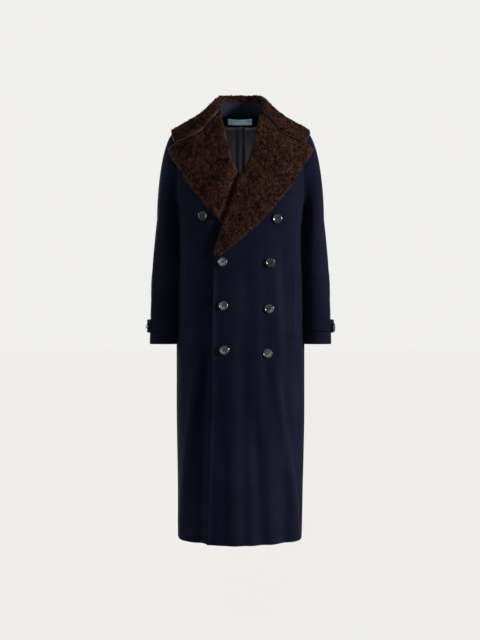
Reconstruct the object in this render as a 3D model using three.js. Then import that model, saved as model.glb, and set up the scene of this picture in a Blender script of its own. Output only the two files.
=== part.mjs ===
// A long double-breasted overcoat with a shearling collar and lapels, filled out as if worn.
// Millimetres, +Z up, front towards -Y, the wearer's left towards +X.
// The origin is between the shoulder tips, where the wearer carries the coat.
import * as THREE from "three";

// Driving sizes
const CLOTH = 3; // wall of the body cloth and its turnings
const SLEEVE_CLOTH = 2.6;
const SHEARLING = 11; // skin and pile together, out to the tips of the curls
const LINING = 1.2;
const SEAM_GAP = 0.3;
const LAY_GAP = 0.5; // between a panel and what lies on it
const LOOSE_GAP = 1.4; // the same where both are curved
const SHOULDER_HALF = 203; // centre to shoulder tip
const HEM = -1198;
const UNDERARM = -240;
const SHOULDER_TOP = 88; // level of the shoulder seam, carried in to the centre line
const NECK_HALF = 76; // centre to the neck end of the shoulder seam
const BUTTON = { radius: 13.6, thickness: 4.6, rim: 2.6, dish: 1.1 };
const CAP_LEVEL = -255; // where the sleeve's cap ends and its tube starts
const CUFF = -626;
const SLEEVE_REST = 1.3; // how close the sleeve hangs to the side of the body
const DEGREE = Math.PI / 180;
const SLEEVE_SEAM = { front: 150 * DEGREE, back: 112 * DEGREE }; // turns from the outer line

const COLOUR = {
  wool: { color: 0x11132a, roughness: 0.9 },
  shearling: { color: 0x2a1710, roughness: 0.95 },
  lining: { color: 0x23262f, roughness: 0.45 },
  label: { color: 0x4e6175, roughness: 0.7 },
  horn: { color: 0x1a1615, roughness: 0.35 },
};

// Body sections from hem to shoulder: half width, depth to the front and to the back,
// squareness of the oval, and how far the section slants down towards the shoulder tip.
const BODY = [
  { level: HEM, half: 184, front: 172, back: 168, square: 2.2, slant: 0 },
  { level: -1000, half: 188, front: 172, back: 160, square: 2.3, slant: 0 },
  { level: -800, half: 191, front: 169, back: 150, square: 2.4, slant: 0 },
  { level: -630, half: 191, front: 165, back: 141, square: 2.4, slant: 0 },
  { level: -450, half: 186.5, front: 159, back: 133, square: 2.5, slant: 0 },
  { level: -300, half: 182.5, front: 151, back: 131, square: 2.8, slant: 0 },
  { level: -240, half: 187, front: 146, back: 131, square: 3, slant: 0 },
  { level: -180, half: 197, front: 138, back: 129, square: 3, slant: 2 },
  { level: -100, half: 203, front: 125, back: 123, square: 2.8, slant: 10 },
  { level: -20, half: 204, front: 108, back: 113, square: 2.6, slant: 30 },
  { level: 30, half: 204, front: 91, back: 99, square: 2.5, slant: 52 },
  { level: 60, half: 204, front: 72, back: 80, square: 2.4, slant: 69 },
  { level: 76, half: 204, front: 52, back: 58, square: 2.4, slant: 78.5 },
  { level: 84, half: 204, front: 30, back: 32, square: 2.3, slant: 83 },
  { level: SHOULDER_TOP, half: 204, front: 0.4, back: 0.4, square: 2.2, slant: 85.5 },
];

// Armhole: share of the section's depth at which each level of the body is cut away
const ARMHOLE = [
  { level: UNDERARM, front: 0.02, back: 0.02 },
  { level: -228, front: 0.36, back: 0.36 },
  { level: -205, front: 0.48, back: 0.5 },
  { level: -170, front: 0.53, back: 0.57 },
  { level: -130, front: 0.56, back: 0.6 },
  { level: -66, front: 0.53, back: 0.56 },
  { level: 0, front: 0.38, back: 0.4 },
  { level: 50, front: 0.3, back: 0.3 },
  { level: SHOULDER_TOP, front: 0.2, back: 0.2 },
];

// Free front edge of the over panel below the lapel, then the line on which the lapel rolls
const FRONT_EDGE = [
  { z: HEM, x: -96.6 },
  { z: -1010, x: -90 },
  { z: -877, x: -86 },
  { z: -797, x: -82 },
  { z: -592, x: -81 },
  { z: -495, x: -79 },
  { z: -369, x: -75.5 },
  { z: -313, x: -59 },
  { z: -229, x: -27 },
  { z: -143, x: 1 },
  { z: -122, x: 14 },
  { z: -89, x: 29 },
  { z: -42, x: 42 },
  { z: -11, x: 47 },
  { z: 42, x: 61 },
  { z: 56.2, x: NECK_HALF },
];

// Neck curve of the back, from the centre seam to the shoulder seam
const BACK_NECK = [
  { level: 76, x: 0.15 },
  { level: 78.5, x: 28 },
  { level: 82, x: 52 },
  { level: 85, x: 66 },
  { level: SHOULDER_TOP, x: NECK_HALF },
];

// Soft folds: x at the top, middle and bottom of each, its ends in z, height and half width
const FRONT_FOLDS = [
  { top: -297, bottom: -1170, x: [92, 122, 155], height: 6, spread: 17 },
  { top: -297, bottom: -640, x: [125, 128, 132], height: -5, spread: 15 },
  { top: -555, bottom: -1150, x: [-97, -142, -170], height: 7, spread: 15 },
  { top: -600, bottom: -1190, x: [-112, -118, -124], height: -6, spread: 13 },
  { top: -760, bottom: -1190, x: [36, 50, 66], height: -5, spread: 20 },
  { top: -380, bottom: -650, x: [16, 15, 14], height: -3, spread: 16 },
  { top: -650, bottom: -880, x: [-26, -24, -20], height: 4, spread: 34 },
  { top: -900, bottom: -1198, x: [104, 108, 114], height: -4, spread: 18 },
];
const BACK_FOLDS = [
  { top: -330, bottom: -1190, x: [70, 88, 108], height: 6, spread: 22 },
  { top: -420, bottom: -1190, x: [-58, -78, -92], height: 7, spread: 20 },
  { top: -520, bottom: -1190, x: [124, 132, 144], height: -5, spread: 18 },
  { top: -480, bottom: -1190, x: [-118, -128, -140], height: -6, spread: 19 },
  { top: -600, bottom: -1190, x: [22, 28, 38], height: -5, spread: 22 },
  { top: -700, bottom: -1190, x: [-16, -24, -30], height: 4, spread: 18 },
];

// Sleeve tube sections: inner and outer line in x, middle and half depth in y
const SLEEVE = [
  { z: CUFF, inner: 178, outer: 270.5, middle: -20, depth: 58 },
  { z: -534, inner: 178, outer: 268, middle: -16, depth: 62 },
  { z: -435, inner: 176, outer: 264, middle: -10, depth: 67 },
  { z: -315, inner: 178, outer: 256, middle: -4, depth: 72 },
  { z: CAP_LEVEL, inner: 186, outer: 249.5, middle: -2, depth: 74 },
];

// Collar, from the centre back round to the gorge: where its inner edge, fold, middle and
// outer edge lie, on the face that carries the pile
const COLLAR = [
  { inner: [0.15, 50, 106], fold: [0.15, 63, 134], middle: [0.15, 101, 90], outer: [0.15, 126, 22] },
  { inner: [36, 42, 105], fold: [37, 57, 133], middle: [70, 93, 82], outer: [88, 124, 10] },
  { inner: [54, 22, 99], fold: [60, 33, 127], middle: [116, 64, 70], outer: [162, 96, 4] },
  { inner: [58, 2, 90], fold: [67, 8, 112], middle: [132, 12, 59], outer: [203, 20, 17] },
  { inner: [57, -18, 77], fold: [68, -18, 94], middle: [130, -50, 47], outer: [208, -52, 2] },
  { inner: [56, -44, 61], fold: [66, -54, 67], middle: [118, -104, 4], outer: [197, -93, -31] },
];

const STAND_DROP = 5.4; // from the collar's inner edge down to the top of the stand

// Lower edge of the collar stand: the neck seam
const NECK_SEAM = [
  [0.15, 57, 76], [36, 46, 73.4], [58, 27, 66.5], [68, 4, 59.6], [66, -18, 56.8], [60, -42, 49],
];

// Lapel outline on the wearer's left, as seen from the front
const LAPEL_OUTER = [
  { x: -58, z: -372 }, { x: -27, z: -347 }, { x: 37, z: -294 }, { x: 93, z: -236 },
  { x: 134, z: -185 }, { x: 160, z: -152 }, { x: 177, z: -118 }, { x: 202, z: -83 },
  { x: 213.5, z: -57 },
];
const LAPEL_TOP = [
  { x: 61, z: 50 }, { x: 88, z: 27 }, { x: 106, z: 0 }, { x: 127, z: -13 }, { x: 144, z: -22 },
  { x: 165, z: -31 }, { x: 183, z: -40 }, { x: 201, z: -44 }, { x: 213.5, z: -57 },
];
const LAPEL_SPREAD = 262; // half width of the wider oval on which a lapel lies over the sleeve
const UNDER_DIP = { lapel: 13, below: 6.5 }; // how far the under panel sinks behind the over one

const BUTTONS = {
  button_1: { x: -108, z: -256, panel: "under" },
  button_2: { x: 105, z: -264, panel: "over" },
  button_3: { x: -51, z: -389, panel: "over" },
  button_4: { x: 85, z: -391, panel: "over" },
  button_5: { x: -48.5, z: -514, panel: "over" },
  button_6: { x: 82, z: -523, panel: "over" },
  button_7: { x: -46, z: -641, panel: "over" },
  button_8: { x: 77.5, z: -650, panel: "over" },
};
const WELT = { top: -393, bottom: -608, frontX: 150, sideX: 181, thickness: 2.4 };
const STRAP = {
  top: -553, bottom: -594, rise: 10, thickness: 3, start: 138 * DEGREE, end: -24 * DEGREE, columns: 18,
};
const STRAP_BUTTON = { turn: (30 * Math.PI) / 180, z: -577 };
const FACING = { below: 3, bottom: 44, half: 60, thickness: 2 };
const LINING_BACK = { top: 41, bottom: -1168, half: 150, pleat: 9, pleatHalf: 13, pleatEnd: -330 };
const LABEL = { left: -41, right: 38, top: 64, bottom: 49, thickness: 1 };

const clamp = (t, low, high) => Math.min(high, Math.max(low, t));
const lerp = (a, b, t) => a + (b - a) * t;
const smooth = (t) => {
  const s = clamp(t, 0, 1);
  return s * s * (3 - 2 * s);
};

// One column of a table at a place between its rows, on a smooth curve that never overshoots
function read(rows, key, column, at) {
  let i = 0;
  while (i < rows.length - 2 && rows[i + 1][key] < at) i++;
  const rise = (j) => (rows[j + 1][column] - rows[j][column]) / (rows[j + 1][key] - rows[j][key]);
  const slope = (j) => {
    if (j === 0) return rise(0);
    if (j === rows.length - 1) return rise(j - 1);
    const before = rise(j - 1);
    const after = rise(j);
    return before * after <= 0 ? 0 : (2 * before * after) / (before + after);
  };
  const step = rows[i + 1][key] - rows[i][key];
  const t = clamp((at - rows[i][key]) / step, 0, 1);
  const low = rows[i][column];
  const high = rows[i + 1][column];
  const bend = t * (1 - t);
  return (
    lerp(low, high, t * t * (3 - 2 * t)) +
    step * bend * ((1 - t) * slope(i) - t * slope(i + 1))
  );
}

// Height of the folds at a point of the front or back
function foldHeight(folds, x, z) {
  let height = 0;
  for (const fold of folds) {
    const along = (fold.top - z) / (fold.top - fold.bottom);
    if (along < 0) continue;
    const [start, middle, end] = fold.x;
    const t = Math.min(along, 1);
    const line = start * (1 - t) * (1 - 2 * t) + 4 * middle * t * (1 - t) + end * t * (2 * t - 1);
    const grow = smooth(along / 0.35);
    height += fold.height * grow * Math.exp(-(((x - line) / fold.spread) ** 2));
  }
  return height;
}

// A point of the body: level, signed share of the quarter turn from the centre line (+-1 is
// the side seam), on the front (facing -1) or the back (facing 1), moved out by a height
function bodyPoint(facing, level, share, out = 0) {
  const size = (column) => read(BODY, "level", column, level);
  const power = 2 / size("square");
  const turn = (Math.abs(share) * Math.PI) / 2;
  const half = size("half");
  const depth = size(facing < 0 ? "front" : "back");
  const x = Math.sign(share) * half * Math.sin(turn) ** power;
  const y = facing * (depth * Math.max(Math.cos(turn), 0) ** power + 2 * SEAM_GAP);
  const z = level - (size("slant") * Math.abs(x)) / SHOULDER_HALF;
  const away = new THREE.Vector3(x / half ** 2, y / Math.max(depth, 30) ** 2, 0).normalize();
  const folds = facing < 0 ? FRONT_FOLDS : BACK_FOLDS;
  const lift = out + foldHeight(folds, x, z) * smooth((-level - 250) / 150);
  return new THREE.Vector3(x, y, z).addScaledVector(away, lift);
}

// Share of the quarter turn at which a body section reaches x, and the level under a point
function shareAtX(level, x) {
  const ratio = clamp(Math.abs(x) / read(BODY, "level", "half", level), 0, 1);
  const power = read(BODY, "level", "square", level) / 2;
  return (Math.sign(x) * Math.asin(ratio ** power) * 2) / Math.PI;
}

function levelAt(x, z) {
  let level = z;
  for (let i = 0; i < 12; i++) {
    level = z + (read(BODY, "level", "slant", level) * Math.abs(x)) / SHOULDER_HALF;
  }
  return Math.min(level, SHOULDER_TOP);
}

function frontPoint(x, z, out = 0) {
  const level = levelAt(x, z);
  return bodyPoint(-1, level, shareAtX(level, x), out);
}

// Where the armhole or the side seam ends a level
function sideShare(facing, level) {
  if (level <= UNDERARM) return 1;
  const ratio = read(ARMHOLE, "level", facing < 0 ? "front" : "back", level);
  const power = read(BODY, "level", "square", level) / 2;
  return (Math.acos(ratio ** power) * 2) / Math.PI;
}

// Where the front edge, the roll line or the neck starts a level of the over panel
function edgeShare(level) {
  let x = 0;
  for (let i = 0; i < 12; i++) {
    const z = level - (read(BODY, "level", "slant", level) * Math.abs(x)) / SHOULDER_HALF;
    x = read(FRONT_EDGE, "z", "x", z);
  }
  return shareAtX(level, x);
}

// Points spaced evenly along a curve, without the seam allowance at either end
function evenly(curve, count, trimStart, trimEnd) {
  const samples = 60;
  const points = [];
  for (let i = 0; i <= samples; i++) points.push(curve(i / samples));
  const lengths = [0];
  for (let i = 1; i <= samples; i++) {
    lengths.push(lengths[i - 1] + points[i].distanceTo(points[i - 1]));
  }
  const total = lengths[samples];
  const result = [];
  for (let i = 0; i <= count; i++) {
    const want = lerp(trimStart, total - trimEnd, i / count);
    let j = 0;
    while (j < samples - 1 && lengths[j + 1] < want) j++;
    const t = (want - lengths[j]) / (lengths[j + 1] - lengths[j]);
    result.push(points[j].clone().lerp(points[j + 1], t));
  }
  return result;
}

// A closed wall between a grid of outer points and a grid of inner points
function wallBetween(outer, inner) {
  const rows = outer.length;
  const columns = outer[0].length;
  const positions = [...outer.flat(), ...inner.flat()].flatMap((p) => [p.x, p.y, p.z]);
  const offset = rows * columns;
  const index = [];
  const quad = (a, b, c, d) => index.push(a, b, c, a, c, d);
  const at = (r, c) => r * columns + c;
  for (let r = 0; r < rows - 1; r++) {
    for (let c = 0; c < columns - 1; c++) {
      quad(at(r, c), at(r, c + 1), at(r + 1, c + 1), at(r + 1, c));
      quad(
        offset + at(r, c),
        offset + at(r + 1, c),
        offset + at(r + 1, c + 1),
        offset + at(r, c + 1),
      );
    }
  }
  const rim = (a, b) => quad(b, a, offset + a, offset + b);
  for (let c = 0; c < columns - 1; c++) {
    rim(at(0, c), at(0, c + 1));
    rim(at(rows - 1, c + 1), at(rows - 1, c));
  }
  for (let r = 0; r < rows - 1; r++) {
    rim(at(r + 1, 0), at(r, 0));
    rim(at(r, columns - 1), at(r + 1, columns - 1));
  }
  const geometry = new THREE.BufferGeometry();
  geometry.setAttribute("position", new THREE.Float32BufferAttribute(positions, 3));
  geometry.setIndex(index);
  return geometry;
}

// The grid's outward direction at each point
function gridNormals(grid) {
  return grid.map((row, r) =>
    row.map((_, c) => {
      const up = grid[Math.min(r + 1, grid.length - 1)][c]
        .clone()
        .sub(grid[Math.max(r - 1, 0)][c]);
      const across = row[Math.min(c + 1, row.length - 1)].clone().sub(row[Math.max(c - 1, 0)]);
      return across.cross(up).normalize();
    }),
  );
}

function moved(grid, distance) {
  const normals = gridNormals(grid);
  return grid.map((row, r) =>
    row.map((p, c) => {
      const d = typeof distance === "function" ? distance(r, c) : distance;
      return p.clone().addScaledVector(normals[r][c], d);
    }),
  );
}

const clothWall = (grid, thickness) => wallBetween(grid, moved(grid, -thickness));
const mirrored = (grid) =>
  grid.map((row) => row.map((p) => new THREE.Vector3(-p.x, p.y, p.z)).reverse());
const turnedRound = (grid) => grid.map((row) => [...row].reverse());

// A wall for the half at +X or its mirror image, kept on its own side of the centre seam
function halfWall(sign, grid, thickness) {
  const inner = moved(grid, -thickness);
  for (const row of [...grid, ...inner]) {
    for (const p of row) p.x = Math.max(p.x, SEAM_GAP / 2);
  }
  return sign > 0 ? wallBetween(grid, inner) : wallBetween(mirrored(grid), mirrored(inner));
}

const FRONT_LEVELS = [
  HEM, -1090, -980, -870, -770, -680, -600, -520, -440, -370, -320, -280, UNDERARM, -226, -200,
  -165, -125, -85, -45, -8, 25, 50, 66, 77, 84, SHOULDER_TOP,
];
const BACK_LEVELS = [
  HEM, -1080, -960, -840, -720, -600, -480, -380, -300, UNDERARM, -226, -200,
  -165, -125, -85, -45, -8, 25, 50, 66, 76, 79, 82, 85, SHOULDER_TOP,
];

// How far the under panel sinks behind the over panel at a point of the front
function underDip(x, z) {
  const hiddenSide = x - read(FRONT_EDGE, "z", "x", z);
  const depth = lerp(UNDER_DIP.below, UNDER_DIP.lapel, smooth((z + 430) / 60));
  return -depth * smooth((hiddenSide + 42) / 40) * smooth((40 - z) / 60);
}

function frontPanel(over) {
  const sign = over ? 1 : -1;
  const grid = FRONT_LEVELS.map((level) => {
    const start = edgeShare(level);
    const end = sideShare(-1, level);
    const curve = (t) => {
      const p = bodyPoint(-1, level, sign * lerp(start, end, t));
      return over ? p : frontPointFrom(p);
    };
    return evenly(curve, 13, 0, SEAM_GAP / 2);
  });
  return clothWall(over ? grid : grid.map((row) => row.reverse()), CLOTH);
}

// A point of the front pushed in to where the under panel lies
function frontPointFrom(p) {
  return p.clone().add(new THREE.Vector3(0, -underDip(p.x, p.z), 0));
}

// A point of the back on one side, turned over to +X
function backPoint(level, sign, share) {
  const p = bodyPoint(1, level, sign * share);
  p.x *= sign;
  return p;
}

function backPanel(sign) {
  const grid = BACK_LEVELS.map((level) => {
    const neck = level < BACK_NECK[0].level ? 0.15 : read(BACK_NECK, "level", "x", level);
    const start = shareAtX(level, neck);
    const end = sideShare(1, level);
    return evenly((t) => backPoint(level, sign, lerp(start, end, t)), 10, 0, SEAM_GAP / 2);
  });
  return halfWall(sign, turnedRound(grid), CLOTH);
}

// The armhole's edge on one side of the body, from shoulder tip to underarm
function armholePoint(facing, t) {
  const level = lerp(SHOULDER_TOP, UNDERARM, t);
  return bodyPoint(facing, level, sideShare(facing, level));
}

function armholeRing(turn) {
  const facing = turn <= Math.PI ? -1 : 1;
  const share = (turn <= Math.PI ? turn : 2 * Math.PI - turn) / Math.PI;
  return ARMHOLE_EDGE[facing][Math.round(share * ARMHOLE_STEPS)];
}

const ARMHOLE_STEPS = 180;
const ARMHOLE_EDGE = {
  [-1]: evenly((t) => armholePoint(-1, t), ARMHOLE_STEPS, 0, 0),
  [1]: evenly((t) => armholePoint(1, t), ARMHOLE_STEPS, 0, 0),
};

// How far out the side of the body lies at a level, in front of or behind its widest line
function bodySide(y, level) {
  const size = (column) => read(BODY, "level", column, level);
  const square = size("square");
  const ratio = Math.min(Math.abs(y) / size(y < 0 ? "front" : "back"), 1);
  return size("half") * (1 - ratio ** square) ** (1 / square);
}

// A point of the left sleeve: turn 0 is the outer line, a quarter the front, a half the inner
// line; along runs 0 to 1 over the cap and 1 to 2 down the tube
function sleevePoint(turn, along) {
  const wrapped = (turn + 2 * Math.PI) % (2 * Math.PI);
  const z = along <= 1 ? CAP_LEVEL : lerp(CAP_LEVEL, CUFF, along - 1);
  const size = (column) => read(SLEEVE, "z", column, z);
  const middle = (size("inner") + size("outer")) / 2;
  const half = (size("outer") - size("inner")) / 2;
  const round = (v) => Math.sign(v) * Math.abs(v) ** 0.9;
  const across = middle + half * round(Math.cos(wrapped));
  const y = size("middle") - size("depth") * round(Math.sin(wrapped));
  const tube = new THREE.Vector3(Math.max(across, bodySide(y, z) + SLEEVE_REST), y, z);
  if (along > 1) {
    const crease = foldHeight(SLEEVE_FOLDS, tube.y, z) * Math.abs(Math.cos(wrapped));
    tube.x += Math.sign(Math.cos(wrapped)) * Math.min(crease, Math.cos(wrapped) > 0 ? 9 : 0);
    return tube;
  }
  const edge = armholeRing(wrapped).clone();
  edge.x += 2 * LAY_GAP;
  const crown = (1 + Math.cos(wrapped)) / 2;
  const leave = edge.clone().add(new THREE.Vector3(3 + 26 * crown, 0, -1));
  const arrive = tube.clone().add(new THREE.Vector3(0, 0, 5 + 115 * crown));
  return new THREE.CubicBezierCurve3(edge, leave, arrive, tube).getPoint(along);
}

const SLEEVE_FOLDS = [
  { top: -300, bottom: -560, x: [-40, -52, -60], height: 4, spread: 14 },
  { top: -340, bottom: -600, x: [20, 8, -8], height: -4, spread: 13 },
];
const SLEEVE_COLUMNS = { top: 15, under: 9 };
const SLEEVE_ROWS = [0, 0.12, 0.26, 0.42, 0.6, 0.8, 1, 1.16, 1.32, 1.48, 1.64, 1.82, 2];


// Both pieces of a sleeve: the ring is laid out whole, then parted at its two seams
function sleevePieces(sign) {
  const seams = [-SLEEVE_SEAM.back, SLEEVE_SEAM.front, 2 * Math.PI - SLEEVE_SEAM.back];
  const counts = [SLEEVE_COLUMNS.top, SLEEVE_COLUMNS.under];
  const outer = [...SLEEVE_ROWS].reverse().map((along) => {
    const arcs = counts.map((count, i) =>
      evenly((t) => sleevePoint(lerp(seams[i], seams[i + 1], t), along), count, 0, 0),
    );
    return [...arcs[0], ...arcs[1].slice(1)];
  });
  const last = outer[0].length - 1;
  const wrapped = outer.map((row) => [row[last - 1], ...row, row[1]]);
  const around = turnedRound(wrapped);
  const inner = turnedRound(moved(around, -SLEEVE_CLOTH)).map((row) => row.slice(1, -1));
  const part = (grid, from, to) =>
    grid.map((row) => {
      const cut = row.slice(from, to + 1).map((p) => p.clone());
      cut[0].add(cut[1].clone().sub(cut[0]).setLength(SEAM_GAP));
      const end = cut.length - 1;
      cut[end].add(cut[end - 1].clone().sub(cut[end]).setLength(SEAM_GAP));
      return sign > 0 ? cut.reverse() : cut.map((p) => new THREE.Vector3(-p.x, p.y, p.z));
    });
  const split = SLEEVE_COLUMNS.top;
  return {
    top: wallBetween(part(outer, 0, split), part(inner, 0, split)),
    under: wallBetween(part(outer, split, last), part(inner, split, last)),
  };
}

// Smooth curve through points of a table
const through = (points) => new THREE.CatmullRomCurve3(points, false, "centripetal");
const toVector = ([x, y, z]) => new THREE.Vector3(x, y, z);

// Half of the collar, from its inner edge over the fold to its outer edge
function collarGrid(around, across) {
  const lines = ["inner", "fold", "middle", "outer"].map((name) =>
    through(COLLAR.map((row) => toVector(row[name]))).getPoints(around),
  );
  return lines[0].map((_, i) => {
    const section = through(lines.map((line) => line[i]));
    return evenly((t) => section.getPoint(t), across, 0, 0);
  });
}

function collarHalf(sign) {
  return halfWall(sign, turnedRound(collarGrid(14, 9)), SHEARLING);
}

// Half of the navy stand between the neck seam and the collar's inner edge
function standHalf(sign) {
  const upper = through(COLLAR.map((row) => toVector(row.inner))).getPoints(12);
  const lower = through(NECK_SEAM.map(toVector)).getPoints(12);
  const grid = lower.map((p, i) => {
    const top = upper[i].clone().setZ(Math.max(upper[i].z - STAND_DROP, p.z + 3));
    const middle = p.clone().lerp(top, 0.5).lerp(new THREE.Vector3(0, 0, p.z), 0.02);
    return [p, middle, top];
  });
  return halfWall(sign, turnedRound(grid), SLEEVE_CLOTH);
}

// How far out the front lies at a point, with the wider oval that carries a lapel to the sleeve
function lapelDepth(x, z, hidden) {
  const level = levelAt(x, z);
  const half = read(BODY, "level", "half", level);
  const depth = read(BODY, "level", "front", level);
  const square = read(BODY, "level", "square", level);
  const body = depth * Math.max(1 - (Math.abs(x) / half) ** square, 0) ** (1 / square);
  const drape = depth * (1 - (Math.abs(x) / LAPEL_SPREAD) ** 2.5) ** 0.4;
  return Math.max(body, lerp(drape, body, hidden));
}

function alongTable(points, t) {
  const curve = through(points.map((p) => new THREE.Vector3(p.x, 0, p.z)));
  return curve.getPointAt(t);
}

function lapelGrid(columns, rows) {
  const rollLine = FRONT_EDGE.filter((p) => p.z > -370 && p.z < 50).map((p) => ({ x: p.x - 4, z: p.z }));
  rollLine[rollLine.length - 1] = { x: 57, z: 48 };
  const foot = { x: (rollLine[0].x + LAPEL_OUTER[0].x) / 2, z: -375 };
  const bottomCurve = [rollLine[0], foot, LAPEL_OUTER[0]];
  const topCurve = [rollLine[rollLine.length - 1], ...LAPEL_TOP];
  const grid = [];
  for (let r = 0; r <= rows; r++) {
    const v = r / rows;
    const left = alongTable(rollLine, v);
    const right = alongTable(LAPEL_OUTER, v);
    const row = [];
    for (let c = 0; c <= columns; c++) {
      const u = c / columns;
      const bottom = alongTable(bottomCurve, u);
      const top = alongTable(topCurve, u);
      const p = left.clone().lerp(right, u).add(bottom.clone().lerp(top, v));
      p.sub(alongTable(bottomCurve, 0).lerp(alongTable(bottomCurve, 1), u).multiplyScalar(1 - v));
      p.sub(alongTable(topCurve, 0).lerp(alongTable(topCurve, 1), u).multiplyScalar(v));
      row.push(p);
    }
    grid.push(row);
  }
  return grid;
}

function lapel(over) {
  const plan = lapelGrid(10, 14);
  const sign = over ? 1 : -1;
  const hidden = (p) => (over ? 0 : smooth((-p.x - read(FRONT_EDGE, "z", "x", p.z) + 30) / 26));
  const gap = (p) => lerp(over ? LOOSE_GAP : 2.7 * LOOSE_GAP, 2.9 * LOOSE_GAP, smooth((p.z + 40) / 60));
  const pressed = UNDER_DIP.lapel - CLOTH - 4.7 * LOOSE_GAP;
  const place = (height) => (p) => {
    const x = sign * p.x;
    const dip = over ? 0 : underDip(x, p.z);
    const out = lapelDepth(x, p.z, hidden(p)) + dip + gap(p) + height(p);
    return new THREE.Vector3(x, -out, p.z);
  };
  const thickness = (p) => lerp(SHEARLING, pressed, hidden(p));
  const inner = plan.map((row) => row.map(place(() => 0)));
  const outer = plan.map((row) => row.map(place(thickness)));
  return over ? wallBetween(outer, inner) : wallBetween(turnedRound(outer), turnedRound(inner));
}

// A plate that lies on the front between two x lines
function frontPlate(sign, sizes) {
  const grid = [];
  for (let r = 0; r <= 6; r++) {
    const z = lerp(sizes.bottom, sizes.top, r / 6);
    const row = [];
    for (let c = 0; c <= 3; c++) {
      const x = sign * lerp(sizes.frontX, sizes.sideX, c / 3);
      row.push(frontPoint(x, z, LOOSE_GAP + sizes.thickness));
    }
    grid.push(sign > 0 ? row : row.reverse());
  }
  return clothWall(grid, sizes.thickness);
}

// Strap round the front and outer side of a cuff, its lower edge rising towards the body
function cuffStrap(sign) {
  const rows = [0, 1].map((r) => {
    const row = [];
    for (let c = 0; c <= STRAP.columns; c++) {
      const share = c / STRAP.columns;
      const turn = lerp(STRAP.start, STRAP.end, share);
      const z = lerp(STRAP.bottom, STRAP.top, r) + STRAP.rise * (1 - share) * (1 - r);
      const along = 1 + (z - CAP_LEVEL) / (CUFF - CAP_LEVEL);
      const p = sleevePoint(turn, along);
      const away = sleevePoint(turn, along).sub(sleeveMiddle(along)).setZ(0).normalize();
      row.push(p.addScaledVector(away, LOOSE_GAP + STRAP.thickness));
    }
    return row;
  });
  return clothWall(sign > 0 ? rows : mirrored(rows), STRAP.thickness);
}

function sleeveMiddle(along) {
  return sleevePoint(0, along).lerp(sleevePoint(Math.PI, along), 0.5);
}

// A dished button with a raised rim, its back on the plane z = 0
function buttonGeometry() {
  const { radius, thickness, rim, dish } = BUTTON;
  const profile = [
    [0, 0], [radius - 1.6, 0], [radius, 1.5], [radius - 0.5, thickness - 0.5],
    [radius - 1.3, thickness], [radius - rim, thickness - 0.3],
    [radius - rim - 1, thickness - dish], [0, thickness - dish - 0.2],
  ];
  const lathe = new THREE.LatheGeometry(profile.map(([x, y]) => new THREE.Vector2(x, y)), 18);
  return lathe.rotateX(Math.PI / 2);
}

function buttonAt(name, position, away) {
  const mesh = piece(name, buttonGeometry(), COLOUR.horn);
  mesh.position.copy(position);
  mesh.quaternion.setFromUnitVectors(new THREE.Vector3(0, 0, 1), away);
  return mesh;
}

function frontButton(name, { x, z, panel }) {
  const here = (dx, dz) => {
    const p = frontPoint(x + dx, z + dz);
    return panel === "under" ? frontPointFrom(p) : p;
  };
  const across = here(6, 0).sub(here(-6, 0));
  const up = here(0, 6).sub(here(0, -6));
  const away = across.cross(up).normalize();
  return buttonAt(name, here(0, 0).addScaledVector(away, LAY_GAP), away);
}

function strapButton(name, sign) {
  const along = 1 + (STRAP_BUTTON.z - CAP_LEVEL) / (CUFF - CAP_LEVEL);
  const turn = STRAP_BUTTON.turn;
  const across = sleevePoint(turn - 0.1, along).sub(sleevePoint(turn + 0.1, along));
  const away = new THREE.Vector3(-across.y, across.x, 0).normalize();
  if (away.x < 0) away.negate();
  const place = sleevePoint(turn, along);
  place.addScaledVector(away, LOOSE_GAP + STRAP.thickness + LAY_GAP / 2);
  if (sign < 0) {
    place.x *= -1;
    away.x *= -1;
  }
  return buttonAt(name, place, away);
}

// A wall just inside the back, between two levels and within a half width
function insideBack(levels, half, columns, depth, thickness, shape = () => 0) {
  const grid = levels.map((z) => {
    const row = [];
    for (let c = 0; c <= columns; c++) {
      const x = lerp(-half(z), half(z), c / columns);
      const level = levelAt(x, z);
      row.push(bodyPoint(1, level, shareAtX(level, x), shape(x, z)));
    }
    return row;
  });
  const inside = moved(grid, depth);
  return clothWall(inside, thickness);
}

function neckFacing() {
  const grid = [0, 0.33, 0.67, 1].map((share) => {
    const row = [];
    for (let c = 0; c <= 12; c++) {
      const x = lerp(-FACING.half, FACING.half, c / 12);
      const z = lerp(FACING.bottom, neckHeight(x) - FACING.below, share);
      const level = levelAt(x, z);
      row.push(bodyPoint(1, level, shareAtX(level, x)));
    }
    return row;
  });
  const depth = CLOTH + LOOSE_GAP + FACING.thickness;
  return clothWall(moved(grid, depth), FACING.thickness);
}

// Height of the back's neck edge at a distance from the centre
function neckHeight(x) {
  const level = read(BACK_NECK, "x", "level", Math.abs(x));
  return level - (read(BODY, "level", "slant", level) * Math.abs(x)) / SHOULDER_HALF;
}

function liningBack() {
  const { top, bottom, half, pleat, pleatHalf, pleatEnd } = LINING_BACK;
  const levels = [bottom, -1000, -820, -640, -480, -330, -240, -160, -80, -20, 16, top];
  const shape = (x, z) => {
    const open = smooth((z - pleatEnd) / 260);
    return -pleat * open * Math.max(0, 1 - Math.abs(x) / pleatHalf);
  };
  const width = (z) => lerp(half, 66, smooth((z + 60) / 110));
  return insideBack(levels, width, 16, CLOTH + 3 * LOOSE_GAP + LINING, LINING, shape);
}

function label() {
  const grid = [LABEL.bottom, LABEL.top].map((z) => {
    const row = [];
    for (let c = 0; c <= 6; c++) {
      const x = lerp(LABEL.left, LABEL.right, c / 6);
      const level = levelAt(x, z);
      row.push(bodyPoint(1, level, shareAtX(level, x)));
    }
    return row;
  });
  const depth = CLOTH + LOOSE_GAP + FACING.thickness + LOOSE_GAP + LABEL.thickness;
  return clothWall(moved(grid, depth), LABEL.thickness);
}

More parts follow.
